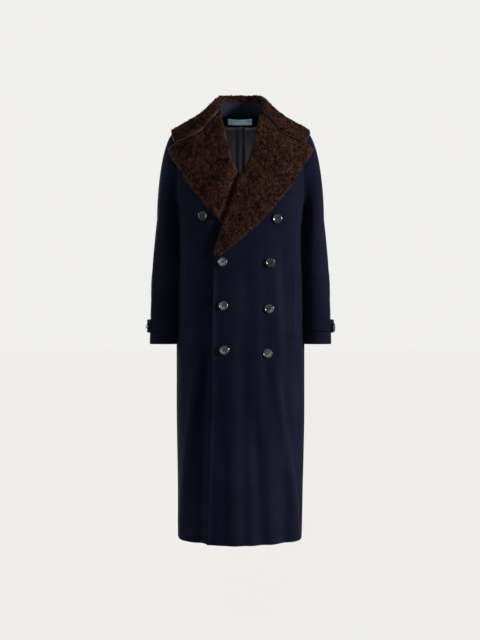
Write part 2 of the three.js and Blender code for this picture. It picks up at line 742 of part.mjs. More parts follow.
function piece(name, geometry, finish) {
  const mesh = new THREE.Mesh(geometry, new THREE.MeshStandardMaterial(finish));
  mesh.name = name;
  return mesh;
}

function overcoat() {
  const coat = new THREE.Group();
  const add = (name, geometry, finish) => coat.add(piece(name, geometry, finish));
  add("front_left", frontPanel(true), COLOUR.wool);
  add("front_right", frontPanel(false), COLOUR.wool);
  add("lapel_left", lapel(true), COLOUR.shearling);
  add("lapel_right", lapel(false), COLOUR.shearling);
  for (const [side, sign] of [["left", 1], ["right", -1]]) {
    add(`back_${side}`, backPanel(sign), COLOUR.wool);
    const sleeve = sleevePieces(sign);
    add(`sleeve_top_${side}`, sleeve.top, COLOUR.wool);
    add(`sleeve_under_${side}`, sleeve.under, COLOUR.wool);
    add(`collar_${side}`, collarHalf(sign), COLOUR.shearling);
    add(`collar_stand_${side}`, standHalf(sign), COLOUR.wool);
    add(`pocket_welt_${side}`, frontPlate(sign, WELT), COLOUR.wool);
    add(`cuff_strap_${side}`, cuffStrap(sign), COLOUR.wool);
    coat.add(strapButton(`cuff_button_${side}`, sign));
  }
  for (const [name, place] of Object.entries(BUTTONS)) coat.add(frontButton(name, place));
  add("neck_facing", neckFacing(), COLOUR.wool);
  add("lining_back", liningBack(), COLOUR.lining);
  add("label", label(), COLOUR.label);
  return coat;
}

export default overcoat();
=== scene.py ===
"""A long double-breasted overcoat in navy melton with a shearling collar and lapels."""
import math

import bpy
import numpy as np
from bpy.props import FloatProperty, FloatVectorProperty, IntProperty, PointerProperty
from mathutils import Matrix, Vector


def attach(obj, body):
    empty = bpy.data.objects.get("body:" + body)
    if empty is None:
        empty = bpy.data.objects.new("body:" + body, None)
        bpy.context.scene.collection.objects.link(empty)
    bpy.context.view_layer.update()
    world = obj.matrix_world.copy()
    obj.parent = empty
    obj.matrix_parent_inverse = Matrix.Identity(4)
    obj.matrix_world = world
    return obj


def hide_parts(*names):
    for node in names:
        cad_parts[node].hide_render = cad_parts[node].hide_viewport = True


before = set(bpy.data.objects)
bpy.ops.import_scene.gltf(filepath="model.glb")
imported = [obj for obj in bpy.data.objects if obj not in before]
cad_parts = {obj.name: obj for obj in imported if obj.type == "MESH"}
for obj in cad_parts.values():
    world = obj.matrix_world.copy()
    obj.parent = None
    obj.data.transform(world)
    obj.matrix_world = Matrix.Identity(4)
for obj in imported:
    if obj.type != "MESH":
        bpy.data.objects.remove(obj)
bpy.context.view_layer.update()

bl_info = {
    "name": "Shearling Collar Overcoat",
    "version": (1, 0, 0),
    "blender": (4, 5, 0),
    "location": "3D View > Sidebar > Overcoat",
    "description": "Dresses the overcoat's solids in melton, shearling, lining, horn and stitching",
    "category": "Object",
}

MM = 0.001


def table(columns, *rows):
    """Rows of numbers as one array for each named column."""
    return dict(zip(columns.split(), np.array(rows, float).T))


# The coat's own sizes, in millimetres, as its solids have them
CLOTH, SLEEVE_CLOTH, SHEARLING, LINING = 3.0, 2.6, 11.0, 1.2
SEAM_GAP, LAY_GAP, LOOSE_GAP = 0.3, 0.5, 1.4
SHOULDER_HALF, SHOULDER_TOP, NECK_HALF = 203.0, 88.0, 76.0
HEM, UNDERARM, CAP_LEVEL, CUFF = -1198.0, -240.0, -255.0, -626.0
SLEEVE_REST = 1.3
SEAM_FRONT, SEAM_BACK = math.radians(150), math.radians(112)
LAPEL_SPREAD, DRAPE_POWER = 262.0, 2.5
DIP_LAPEL, DIP_BELOW = 13.0, 6.5

BODY = table(
    "level half front back square slant",
    (HEM, 184, 172, 168, 2.2, 0),
    (-1000, 188, 172, 160, 2.3, 0),
    (-800, 191, 169, 150, 2.4, 0),
    (-630, 191, 165, 141, 2.4, 0),
    (-450, 186.5, 159, 133, 2.5, 0),
    (-300, 182.5, 151, 131, 2.8, 0),
    (-240, 187, 146, 131, 3, 0),
    (-180, 197, 138, 129, 3, 2),
    (-100, 203, 125, 123, 2.8, 10),
    (-20, 204, 108, 113, 2.6, 30),
    (30, 204, 91, 99, 2.5, 52),
    (60, 204, 72, 80, 2.4, 69),
    (76, 204, 52, 58, 2.4, 78.5),
    (84, 204, 30, 32, 2.3, 83),
    (SHOULDER_TOP, 204, 0.4, 0.4, 2.2, 85.5),
)
ARMHOLE = table(
    "level front back",
    (UNDERARM, 0.02, 0.02),
    (-228, 0.36, 0.36),
    (-205, 0.48, 0.5),
    (-170, 0.53, 0.57),
    (-130, 0.56, 0.6),
    (-66, 0.53, 0.56),
    (0, 0.38, 0.4),
    (50, 0.3, 0.3),
    (SHOULDER_TOP, 0.2, 0.2),
)
FRONT_EDGE = table(
    "z x",
    (HEM, -96.6), (-1010, -90), (-877, -86), (-797, -82), (-592, -81), (-495, -79),
    (-369, -75.5), (-313, -59), (-229, -27), (-143, 1), (-122, 14), (-89, 29),
    (-42, 42), (-11, 47), (42, 61), (56.2, NECK_HALF),
)
BACK_NECK = table(
    "level x", (76, 0.15), (78.5, 28), (82, 52), (85, 66), (SHOULDER_TOP, NECK_HALF)
)
FOLD_COLUMNS = "top bottom start middle end height spread"
FRONT_FOLDS = table(
    FOLD_COLUMNS,
    (-297, -1170, 92, 122, 155, 6, 17),
    (-297, -640, 125, 128, 132, -5, 15),
    (-555, -1150, -97, -142, -170, 7, 15),
    (-600, -1190, -112, -118, -124, -6, 13),
    (-760, -1190, 36, 50, 66, -5, 20),
    (-380, -650, 16, 15, 14, -3, 16),
    (-650, -880, -26, -24, -20, 4, 34),
    (-900, -1198, 104, 108, 114, -4, 18),
)
BACK_FOLDS = table(
    FOLD_COLUMNS,
    (-330, -1190, 70, 88, 108, 6, 22),
    (-420, -1190, -58, -78, -92, 7, 20),
    (-520, -1190, 124, 132, 144, -5, 18),
    (-480, -1190, -118, -128, -140, -6, 19),
    (-600, -1190, 22, 28, 38, -5, 22),
    (-700, -1190, -16, -24, -30, 4, 18),
)
SLEEVE = table(
    "z inner outer middle depth",
    (CUFF, 178, 270.5, -20, 58),
    (-534, 178, 268, -16, 62),
    (-435, 176, 264, -10, 67),
    (-315, 178, 256, -4, 72),
    (CAP_LEVEL, 186, 249.5, -2, 74),
)
SLEEVE_FOLDS = table(
    FOLD_COLUMNS, (-300, -560, -40, -52, -60, 4, 14), (-340, -600, 20, 8, -8, -4, 13)
)
# Small creases that the solids leave out, in the columns of the folds
FRONT_CREASES = table(
    FOLD_COLUMNS,
    (-430, -760, 46, 52, 60, 2.4, 10),
    (-520, -900, -8, 2, 10, -2.2, 12),
    (-300, -520, 60, 66, 70, -1.8, 10),
    (-820, -1180, -52, -48, -44, -2.6, 12),
    (-330, -600, -150, -146, -140, 1.4, 9),
    (-640, -1000, 158, 166, 172, -2.4, 10),
    (-560, -1000, -84, -112, -138, -2.4, 10),
    (-470, -1198, -101, -106, -116, -6.0, 10),
    (-570, -1190, 78, 124, 172, 6.5, 13),
    (-600, -1190, 99, 147, 191, -6.0, 12),
    (-250, -640, 116, 122, 130, -3.0, 11),
    (-800, -1198, 48, 53, 60, -6.5, 16),
)
BACK_CREASES = table(
    FOLD_COLUMNS,
    (-280, -560, 40, 50, 56, -1.8, 12),
    (-300, -620, -30, -40, -46, -2.2, 12),
    (-700, -1150, 60, 62, 66, -2.2, 12),
    (-640, -1100, -44, -52, -58, -2.6, 12),
    (-860, -1198, 100, 112, 120, 2.4, 12),
    (-820, -1190, -150, -150, -154, 2.2, 10),
)
COLLAR = table(
    "inner_x inner_y inner_z fold_x fold_y fold_z middle_x middle_y middle_z outer_x outer_y outer_z",
    (0.15, 50, 106, 0.15, 63, 134, 0.15, 101, 90, 0.15, 126, 22),
    (36, 42, 105, 37, 57, 133, 70, 93, 82, 88, 124, 10),
    (54, 22, 99, 60, 33, 127, 116, 64, 70, 162, 96, 4),
    (58, 2, 90, 67, 8, 112, 132, 12, 59, 203, 20, 17),
    (57, -18, 77, 68, -18, 94, 130, -50, 47, 208, -52, 2),
    (56, -44, 61, 66, -54, 67, 118, -104, 4, 197, -93, -31),
)
NECK_SEAM = table(
    "x y z",
    (0.15, 57, 76), (36, 46, 73.4), (58, 27, 66.5), (68, 4, 59.6), (66, -18, 56.8), (60, -42, 49),
)
LAPEL_OUTER = table(
    "x z",
    (-58, -372), (-27, -347), (37, -294), (93, -236), (134, -185), (160, -152), (177, -118),
    (202, -83), (213.5, -57),
)
ROLL_OUT = 4  # how far past the front's edge the lapel's roll stands
ROLL_LEVELS = (-370, 50)  # the part of the front's edge that the lapel rolls over
LAPEL_HEAD = (57, 48)  # x and z at which the roll ends under the collar
LAPEL_FOOT = -375  # lowest z of the lapel
LAPEL_TOP = table(
    "x z",
    (61, 50), (88, 27), (106, 0), (127, -13), (144, -22), (165, -31), (183, -40), (201, -44),
    (213.5, -57),
)
BUTTON = {"radius": 13.6, "thickness": 4.6, "rim": 2.6, "dish": 1.1}
BUTTONS = {
    "button_1": (-108, -256, "under"),
    "button_2": (105, -264, "over"),
    "button_3": (-51, -389, "over"),
    "button_4": (85, -391, "over"),
    "button_5": (-48.5, -514, "over"),
    "button_6": (82, -523, "over"),
    "button_7": (-46, -641, "over"),
    "button_8": (77.5, -650, "over"),
}
BUTTONHOLES = ("button_3", "button_5", "button_7")
WELT = {"top": -393, "bottom": -608, "front_x": 150, "side_x": 181, "thickness": 2.4}
STRAP = {"top": -553, "bottom": -594, "rise": 10, "thickness": 3,
         "start": math.radians(138), "end": math.radians(-24)}
STRAP_BUTTON = {"turn": math.radians(30), "z": -577}
CUFF_SEAM = -548
SIDES = (("left", 1), ("right", -1))
FACE = {-1: "front", 1: "back"}
FOLDS = {-1: FRONT_FOLDS, 1: BACK_FOLDS}
CREASES = {-1: FRONT_CREASES, 1: BACK_CREASES}
FOLD_TOP, FOLD_FADE = -250, 150  # the level below which folds grow, and over what height
FACING = {"below": 3, "bottom": 44, "half": 60, "thickness": 2}
FACING_DEPTH = CLOTH + LOOSE_GAP + FACING["thickness"]
LINING_BACK = {"top": 41, "bottom": -1168, "half": 150, "neck_half": 66,
               "pleat": 9, "pleat_half": 13, "pleat_end": -330}
LABEL = {"left": -41, "right": 38, "top": 64, "bottom": 49, "thickness": 1}


def smooth(t):
    s = np.clip(t, 0, 1)
    return s * s * (3 - 2 * s)


def mix(a, b, t):
    return a + (b - a) * t


def read(rows, key, column, at):
    """One column of a table between its rows, on a smooth curve that never overshoots."""
    keys, values = rows[key], rows[column]
    step = np.diff(keys)
    rise = np.diff(values) / step
    before, after = rise[:-1], rise[1:]
    total = np.where(before * after > 0, before + after, 1)
    inside = np.where(before * after > 0, 2 * before * after / total, 0)
    slope = np.concatenate([rise[:1], inside, rise[-1:]])
    at = np.clip(np.asarray(at, float), keys[0], keys[-1])
    i = np.clip(np.searchsorted(keys, at) - 1, 0, len(keys) - 2)
    t = (at - keys[i]) / step[i]
    bend = step[i] * t * (1 - t) * ((1 - t) * slope[i] - t * slope[i + 1])
    return mix(values[i], values[i + 1], t * t * (3 - 2 * t)) + bend


def fold_height(folds, x, z):
    """Height of a table's folds at a place across (x) and down (z)."""
    height = 0
    for k in range(len(folds["top"])):
        top, bottom, start, middle, end, size, spread = (folds[c][k] for c in FOLD_COLUMNS.split())
        along = (top - z) / (top - bottom)
        t = np.clip(along, 0, 1)
        line = start * (1 - t) * (1 - 2 * t) + 4 * middle * t * (1 - t) + end * t * (2 * t - 1)
        ridge = size * smooth(along / 0.35) * np.exp(-(((x - line) / spread) ** 2))
        height = height + np.where(along < 0, 0, ridge)
    return height


def unit(v):
    return v / np.maximum(np.linalg.norm(v, axis=-1, keepdims=True), 1e-9)


def body_sizes(level, *columns):
    """Columns of the body's table at a level."""
    return [read(BODY, "level", column, level) for column in columns]


def slant_at(level, x):
    """How far the body's section has come down at a distance from the centre."""
    return read(BODY, "level", "slant", level) * np.abs(x) / SHOULDER_HALF


def body_point(facing, level, share, out=0, fine=False):
    """A point of the front (facing -1) or back (1): level, and share of the quarter turn."""
    level, share = np.broadcast_arrays(np.asarray(level, float), np.asarray(share, float))
    half, depth, square = body_sizes(level, "half", FACE[facing], "square")
    power = 2 / square
    turn = np.abs(share) * math.pi / 2
    x = np.sign(share) * half * np.sin(turn) ** power
    y = facing * depth * np.maximum(np.cos(turn), 0) ** power
    z = level - slant_at(level, x)
    away = unit(np.stack([x / half**2, y / np.maximum(depth, 30) ** 2, 0 * z], -1))
    folds = fold_height(FOLDS[facing], x, z)
    if fine:
        folds = folds + fold_height(CREASES[facing], x, z)
    lift = out + folds * smooth((FOLD_TOP - level) / FOLD_FADE)
    return np.stack([x, y, z], -1) + away * lift[..., None]


def share_at_x(level, x):
    """The share of the quarter turn at which the body reaches x."""
    half, square = body_sizes(level, "half", "square")
    ratio = np.clip(np.abs(x) / half, 0, 1)
    return np.sign(x) * np.arcsin(ratio ** (square / 2)) * 2 / math.pi


def level_at(x, z):
    """The level whose slanted section passes through x and z."""
    level = np.asarray(z, float)
    for _ in range(12):
        level = z + slant_at(level, x)
    return np.minimum(level, SHOULDER_TOP)


def front_point(x, z, out=0):
    level = level_at(x, z)
    return body_point(-1, level, share_at_x(level, x), out, fine=True)


def back_point(x, z, out=0):
    level = level_at(x, z)
    return body_point(1, level, share_at_x(level, x), out)


def side_share(facing, level):
    """The share of the quarter turn at which a panel ends, at its armhole or side seam."""
    ratio = read(ARMHOLE, "level", FACE[facing], level)
    power = read(BODY, "level", "square", level) / 2
    return np.where(level <= UNDERARM, 1, np.arccos(ratio**power) * 2 / math.pi)


def edge_share(level):
    """The share of the quarter turn at which the front's free edge lies."""
    x = 0 * level
    for _ in range(12):
        x = read(FRONT_EDGE, "z", "x", level - slant_at(level, x))
    return share_at_x(level, x)


def under_dip(x, z):
    """How far the under panel lies behind the over panel, towards +Y."""
    beyond = x - read(FRONT_EDGE, "z", "x", z)
    depth = mix(DIP_BELOW, DIP_LAPEL, smooth((z + 430) / 60))
    return depth * smooth((beyond + 42) / 40) * smooth((40 - z) / 60)


def dense(keys, step):
    """A list of places with each stretch cut into equal steps of about one size."""
    places = [keys[0]]
    for low, high in zip(keys, keys[1:]):
        count = max(1, round((high - low) / step))
        places.extend(low + (high - low) * (i + 1) / count for i in range(count))
    return np.array(places, float)


EDGE_STEPS = np.array([0, 0.35, 0.9, 1.8, 3.2])  # how finely an edge's roundness is cut


def lengths_along(lines):
    """How far along its line each point lies; lines is rows of points."""
    steps = np.linalg.norm(np.diff(lines, axis=1), axis=-1)
    return np.concatenate([np.zeros((len(lines), 1)), np.cumsum(steps, 1)], 1)


def respaced(lines, columns):
    """Each line's points spaced evenly, with fine steps near both ends."""
    far = lengths_along(lines)
    grid = []
    for line, lengths in zip(lines, far):
        total = lengths[-1]
        plain_part = np.linspace(EDGE_STEPS[-1], total - EDGE_STEPS[-1], columns)
        want = np.concatenate([EDGE_STEPS[:-1], plain_part, total - EDGE_STEPS[-2::-1]])
        grid.append(np.stack([np.interp(want, lengths, line[:, k]) for k in range(3)], -1))
    return np.array(grid)


def grid_normals(grid):
    up = np.gradient(grid, axis=0)
    across = np.gradient(grid, axis=1)
    return unit(np.cross(across, up))


def border(grid):
    """Distance of each point of a grid from its first and last column, first and last row."""
    across = lengths_along(grid)
    down = lengths_along(grid.transpose(1, 0, 2)).T
    return across, across[:, -1:] - across, down, down[-1:] - down


def rounding(distance, radius, depth):
    """How far a rounded edge has fallen at a distance from it."""
    t = np.clip(1 - distance / radius, 0, 1)
    return depth * (1 - np.sqrt(1 - t * t * 0.9999))


def closed_wall(name, outer, inner, material):
    """A mesh between an outer and an inner grid, with its flat sizes as a UV map in metres."""
    rows, columns = outer.shape[:2]
    count = rows * columns
    points = np.concatenate([outer.reshape(-1, 3), inner.reshape(-1, 3)]) * MM
    at = np.arange(count).reshape(rows, columns)
    a, b, c, d = at[:-1, :-1], at[:-1, 1:], at[1:, 1:], at[1:, :-1]
    front = np.stack([a, b, c, d], -1).reshape(-1, 4)
    behind = front[:, ::-1] + count
    ring = np.concatenate([at[0, :-1], at[:-1, -1], at[-1, :0:-1], at[:0:-1, 0]])
    after = np.roll(ring, -1)
    rim = np.stack([after, ring, ring + count, after + count], -1)
    faces = np.concatenate([front, behind, rim])
    mesh = bpy.data.meshes.new(name)
    mesh.from_pydata(points.tolist(), [], faces.tolist())
    mesh.materials.append(material)
    mesh.polygons.foreach_set("use_smooth", np.ones(len(faces), bool))
    across, _, down, _ = border(outer)
    flat = np.stack([across, down], -1).reshape(-1, 2) * MM
    layer = mesh.uv_layers.new(name="cloth")
    layer.data.foreach_set("uv", np.concatenate([flat, flat])[faces.reshape(-1)].reshape(-1))
    mesh.update()
    return link(name, mesh)


def link(name, mesh):
    piece = bpy.data.objects.new(name, mesh)
    bpy.context.scene.collection.objects.link(piece)
    return piece


def keep(piece, slot, *nodes):
    """A finished piece rides with the coat and stands for its solids; its slot is not used."""
    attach(piece, "root")
    if nodes:
        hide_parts(*nodes)
    return piece


LEAST_AREA = 0.31  # least share of its flat size that a sheet's area may be


def declare(piece, grid, held, turning=0.0, **extra):
    """Works out a sheet's flat size from its grid and the turnings it was cut with, and its area, but
    declares nothing.
    """
    across, _, down, _ = border(grid)
    wide, long = across[:, -1].max() * MM + 2 * turning, down[-1].max() * MM + 2 * turning
    up, right = np.gradient(grid, axis=0), np.gradient(grid, axis=1)
    patches = np.linalg.norm(np.cross(right, up), axis=-1)
    weight = np.ones(patches.shape)
    weight[[0, -1], :] /= 2
    weight[:, [0, -1]] /= 2
    area = float((patches * weight).sum()) * MM * MM
    area = min(max(area, LEAST_AREA * wide * long), wide * long)


def close_centre(*faces):
    """Keeps faces of a left half on their own side, with their first row on the centre."""
    for face in faces:
        face[..., 0] = np.maximum(face[..., 0], 0)
        face[0, :, 0] = 0


def flipped(grid, sign):
    """The same grid on the wearer's left (1) or mirrored to the right (-1), facing outwards."""
    return grid if sign > 0 else (grid * [-1, 1, 1])[:, ::-1]


class Socket:
    """A shader value that adds its Math or Mix nodes from an ordinary expression."""

    def __init__(self, tree, socket):
        self.tree = tree
        self.socket = socket

    def _math(self, operation, *values):
        return node(self.tree, "ShaderNodeMath", {"operation": operation}, dict(enumerate(values)))

    def __add__(self, other):
        return self._math("ADD", self, other)

    def __sub__(self, other):
        return self._math("SUBTRACT", self, other)

    def __rsub__(self, other):
        return self._math("SUBTRACT", other, self)

    def __mul__(self, other):
        return self._math("MULTIPLY", self, other)

    __radd__ = __add__
    __rmul__ = __mul__

    def sine(self):
        return self._math("SINE", self)

    def beside(self, name):
        """Another output of the node that gives this value."""
        return Socket(self.tree, self.socket.node.outputs[name])

    def between(self, low, high):
        """0 below low, 1 above high and smooth in between."""
        settings = {"interpolation_type": "SMOOTHSTEP"}
        values = {"Value": self, "From Min": low, "From Max": high}
        return node(self.tree, "ShaderNodeMapRange", settings, values)


def fill(tree, socket, value):
    """Links a node's output to a socket, or sets the socket's own value."""
    if isinstance(value, Socket):
        tree.links.new(value.socket, socket)
    elif isinstance(value, bpy.types.NodeSocket):
        tree.links.new(value, socket)
    elif hasattr(value, "__len__") and socket.type == "RGBA" and len(value) == 3:
        socket.default_value = (*value, 1)
    else:
        socket.default_value = value


def node(tree, kind, settings=None, values=None, output=0):
    """Any node, its settings set first, then its sockets' values or links."""
    made = tree.nodes.new(kind)
    for name, value in (settings or {}).items():
        setattr(made, name, value)
    for name, value in (values or {}).items():
        fill(tree, made.inputs[name], value)
    return Socket(tree, made.outputs[output])


def blend_colour(tree, factor, low, high):
    settings = {"data_type": "RGBA"}
    return node(tree, "ShaderNodeMix", settings, {0: factor, 6: low, 7: high}, output=2)


def noise(tree, where, scale, detail=2.0, rough=0.5):
    values = {"Vector": where, "Scale": scale, "Detail": detail, "Roughness": rough}
    return node(tree, "ShaderNodeTexNoise", {}, values)


def material(name, build):
    """A material whose shader's sockets come from build(tree)."""
    made = bpy.data.materials.new(name)
    made.use_nodes = True
    tree = made.node_tree
    shader = tree.nodes["Principled BSDF"]
    for socket, value in build(tree).items():
        fill(tree, shader.inputs[socket], value)
    return made


def object_place(tree):
    return node(tree, "ShaderNodeTexCoord", output=3)


def cloth_place(tree, across=1.0, down=1.0):
    flat = node(tree, "ShaderNodeUVMap", {"uv_map": "cloth"})
    return node(tree, "ShaderNodeMapping", {}, {"Vector": flat, "Scale": (across, down, 1)})


def cloth_sizes(tree):
    """How far across and down its cloth a place lies, in metres."""
    flat = node(tree, "ShaderNodeUVMap", {"uv_map": "cloth"})
    across = node(tree, "ShaderNodeSeparateXYZ", {}, {0: flat})
    return across, across.beside(1)


def tinted(colour, share, plus=0.0, most=1.0):
    """A colour made darker or lighter by a share."""
    return tuple(min(most, c * share + plus) for c in colour)


def bump(tree, height, distance, strength=1.0):
    values = {"Height": height, "Distance": distance, "Strength": strength}
    return node(tree, "ShaderNodeBump", {}, values)


def melton(colour, name):
    """Milled wool: fine felted nap, brushed down the cloth, with a soft bloom."""
    def build(tree):
        place = object_place(tree)
        nap = noise(tree, cloth_place(tree, 1.0, 0.35), 900, 4, 0.65)
        felt = noise(tree, place, 1500, 3, 0.7)
        cloud = noise(tree, place, 9, 3, 0.55)
        fleck = noise(tree, place, 420, 2, 0.6)
        tone = nap * 0.45 + cloud * 0.35 + fleck * 0.2
        darker, lighter = tinted(colour, 0.68), tinted(colour, 1.45, 0.0006)
        shade = blend_colour(tree, tone.between(0.3, 0.7), darker, lighter)
        height = nap * 0.6 + felt * 0.4
        return {
            "Base Color": shade,
            "Roughness": 0.86 + 0.1 * felt,
            "Normal": bump(tree, height, 0.0005, 0.7),
            "Sheen Weight": 0.02,
            "Sheen Roughness": 0.4,
            "Sheen Tint": (0.5, 0.55, 1.0),
            "Specular IOR Level": 0.02,
        }
    return material(name, build)


PILE_PAINTED_SHADE, PILE_PAINTED_LIGHT = (0.2, 0.1, 0.07), (2.45, 2.7, 3.0)  # shares of the pile's colour: painted shade in the hollows and painted light on the tips


def curly_pile(colour, name, lift):
    """Shearling pile: clumps with painted light on their lighter tips and painted shade in their
    near-black hollows.
    """
    def build(tree):
        place = object_place(tree)
        clump = noise(tree, place, 95, 3, 0.6)
        lock = noise(tree, place, 420, 2, 0.6)
        patch = noise(tree, place, 22, 2, 0.5)
        height = node(tree, "ShaderNodeAttribute", {"attribute_name": "pile_height"}, output=2)
        # The pile's height darkens low pile and lightens high pile: painted shade and painted light
        tone = clump * 0.48 + lock * 0.14 + patch * 0.26 + height * 0.12
        # lift makes both colours lighter: painted light for curls that stand on top of the pile
        dark = tuple(c * share * lift for c, share in zip(colour, PILE_PAINTED_SHADE))
        light = tuple(c * share * lift for c, share in zip(colour, PILE_PAINTED_LIGHT))
        shade = blend_colour(tree, tone.between(0.41, 0.61), dark, light)
        height = lock * 0.7 + clump * 0.3
        return {
            "Base Color": shade,
            "Roughness": 0.62 + 0.25 * lock,
            "Normal": bump(tree, height, 0.0012, 0.8),
            "Specular IOR Level": 0.04,
        }
    return material(name, build)


def skin(colour):
    """The shearling's suede side and its cut edge."""
    def build(tree):
        place = object_place(tree)
        grain = noise(tree, place, 700, 3, 0.6)
        cloud = noise(tree, place, 30, 2, 0.5)
        tone = (grain * 0.5 + cloud * 0.5).between(0.3, 0.7)
        shade = blend_colour(tree, tone, tinted(colour, 0.7), tinted(colour, 1.35))
        return {
            "Base Color": shade,
            "Roughness": 0.8 + 0.15 * grain,
            "Normal": bump(tree, grain, 0.0004, 0.6),
            "Specular IOR Level": 0.2,
        }
    return material("shearling_skin", build)


def twill(colour):
    """Lining twill: fine diagonal ribs with a soft satin light."""
    def build(tree):
        across, down = cloth_sizes(tree)
        ribs = ((across + down) * 5200).sine()
        cloud = noise(tree, object_place(tree), 26, 3, 0.5)
        tone = (ribs * 0.14 + cloud).between(0.25, 0.75)
        shade = blend_colour(tree, tone, tinted(colour, 0.75), tinted(colour, 1.35))
        return {
            "Base Color": shade,
            "Roughness": 0.36 + 0.14 * cloud,
            "Normal": bump(tree, ribs, 0.00008, 0.5),
            "Sheen Weight": 0.25,
            "Sheen Roughness": 0.3,
        }
    return material("lining_twill", build)


def tape(colour):
    """Bare woven tape: close ribs across, slightly uneven."""
    def build(tree):
        across, down = cloth_sizes(tree)
        ribs = (down * 7000).sine()
        threads = (across * 9000).sine()
        cloud = noise(tree, object_place(tree), 160, 3, 0.6)
        darker, lighter = tinted(colour, 0.8), tinted(colour, 1.15, most=0.95)
        tone = ribs * 0.12 + threads * 0.08 + cloud
        return {
            "Base Color": blend_colour(tree, tone.between(0.25, 0.75), darker, lighter),
            "Roughness": 0.55 + 0.2 * cloud,
            "Normal": bump(tree, ribs * 0.6 + threads * 0.4, 0.0001, 0.6),
            "Sheen Weight": 0.2,
        }
    return material("label_tape", build)


def horn(colour):
    """Polished dark horn with smoky bands and fine scratches."""
    def build(tree):
        place = object_place(tree)
        stretched = node(tree, "ShaderNodeMapping", {}, {"Vector": place, "Scale": (1, 1, 0.25)})
        smoke = noise(tree, stretched, 190, 4, 0.6)
        scratch = noise(tree, place, 1800, 2, 0.7)
        shade = blend_colour(tree, smoke.between(0.45, 0.78), colour, tinted(colour, 2, 0.005))
        return {
            "Base Color": shade,
            "Roughness": 0.13 + 0.08 * scratch,
            "Normal": bump(tree, scratch, 0.00003, 0.3),
            "Specular IOR Level": 0.5,
            "Coat Weight": 0.15,
            "Coat Roughness": 0.06,
        }
    return material("dark_horn", build)


def thread(colour):
    """Sewing thread: a fine twist along the stitch."""
    def build(tree):
        twist = noise(tree, object_place(tree), 2600, 2, 0.5)
        darker, lighter = tinted(colour, 0.6), tinted(colour, 1.5)
        return {
            "Base Color": blend_colour(tree, twist.between(0.35, 0.65), darker, lighter),
            "Roughness": 0.6 + 0.2 * twist,
            "Normal": bump(tree, twist, 0.0001, 0.5),
            "Specular IOR Level": 0.1,
        }
    return material("sewing_thread", build)


def floor_paper(colour):
    """A matt, almost even floor."""
    def build(tree):
        grain = noise(tree, object_place(tree), 60, 3, 0.6)
        return {
            "Base Color": blend_colour(tree, grain, tinted(colour, 0.995), colour),
            "Roughness": 0.95,
            "Specular IOR Level": 0.0,
        }
    return material("pale_floor", build)


def length(name, description, default, low, high):
    return FloatProperty(
        name=name, description=description, default=default, min=low, max=high, unit="LENGTH")


def shade_of(name, description, default):
    return FloatVectorProperty(
        name=name, description=description, default=default, min=0, max=1, size=3, subtype="COLOR")


class OvercoatSizes(bpy.types.PropertyGroup):
    """Sizes of the finish that a user would change."""

    edge_stitch: length(
        "Edge Stitch", "Distance of the edge stitching from an edge", 0.007, 0.002, 0.02)
    stitch_pitch: length(
        "Stitch Pitch", "Distance from one stitch to the next", 0.0034, 0.001, 0.01)
    stitch_radius: length(
        "Thread Radius", "Half the thickness of the sewing thread", 0.00032, 0.0001, 0.001)
    clump_size: length(
        "Clump Size", "Width of one clump of shearling curls", 0.0095, 0.003, 0.03)
    curl_radius: length("Curl Radius", "Radius of one curl of the pile", 0.0024, 0.001, 0.006)
    curl_density: FloatProperty(
        name="Curl Density", description="Curls on each square metre of pile",
        default=46800.0, min=1000, max=200000)
    curl_seed: IntProperty(
        name="Curl Seed", description="Seed of the curls' places and turns", default=7, min=0)


class OvercoatColours(bpy.types.PropertyGroup):
    """Colours of the cloth, pile, lining, tape, horn, thread and floor."""

    wool: shade_of("Wool", "Colour of the melton", (0.0020, 0.00213, 0.0062))
    # The stand's felt is a lighter, greyer copy of the wool; its lightness is painted light for a stand
    # that lies in shade
    felt: shade_of("Felt", "Colour of the stand's felted wool", (0.0058, 0.0061, 0.0125))
    pile: shade_of("Pile", "Colour of the shearling pile", (0.0076, 0.0026, 0.0015))
    skin: shade_of("Skin", "Colour of the shearling's suede side", (0.046, 0.031, 0.025))
    lining: shade_of("Lining", "Colour of the lining", (0.030, 0.0285, 0.039))
    label: shade_of("Label", "Colour of the bare label tape", (0.50, 0.70, 0.94))
    horn: shade_of("Horn", "Colour of the buttons", (0.0045, 0.0042, 0.0042))
    thread: shade_of("Thread", "Colour of the sewing thread", (0.0034, 0.0035, 0.0085))
    floor: shade_of("Floor", "Colour of the floor", (0.520, 0.5175, 0.5135))


FINISHES = {  # each finish: its maker, its colour, and what else the maker takes
    "wool": (melton, "wool", "navy_melton"),
    # the felt: melton in a lighter colour, painted light for the stand in shade
    "felt": (melton, "felt", "collar_felt"),
    "pile": (curly_pile, "pile", "shearling_pile", 1.0),
    # the curls take the pile's colours 1.25 times lighter: painted light on the curls that stand on top
    "curls": (curly_pile, "pile", "shearling_curls", 1.25),
    "skin": (skin, "skin"),
    "lining": (twill, "lining"),
    "label": (tape, "label"),
    "horn": (horn, "horn"),
    "thread": (thread, "thread"),
    "floor": (floor_paper, "floor"),
}
MADE_MATERIALS = {}


def finish(name):
    """The material of a name, made the first time it is asked for."""
    if name not in MADE_MATERIALS:
        maker, colour, *extra = FINISHES[name]
        shade = getattr(bpy.context.scene.overcoat_colours, colour)
        MADE_MATERIALS[name] = maker(tuple(shade), *extra)
    return MADE_MATERIALS[name]


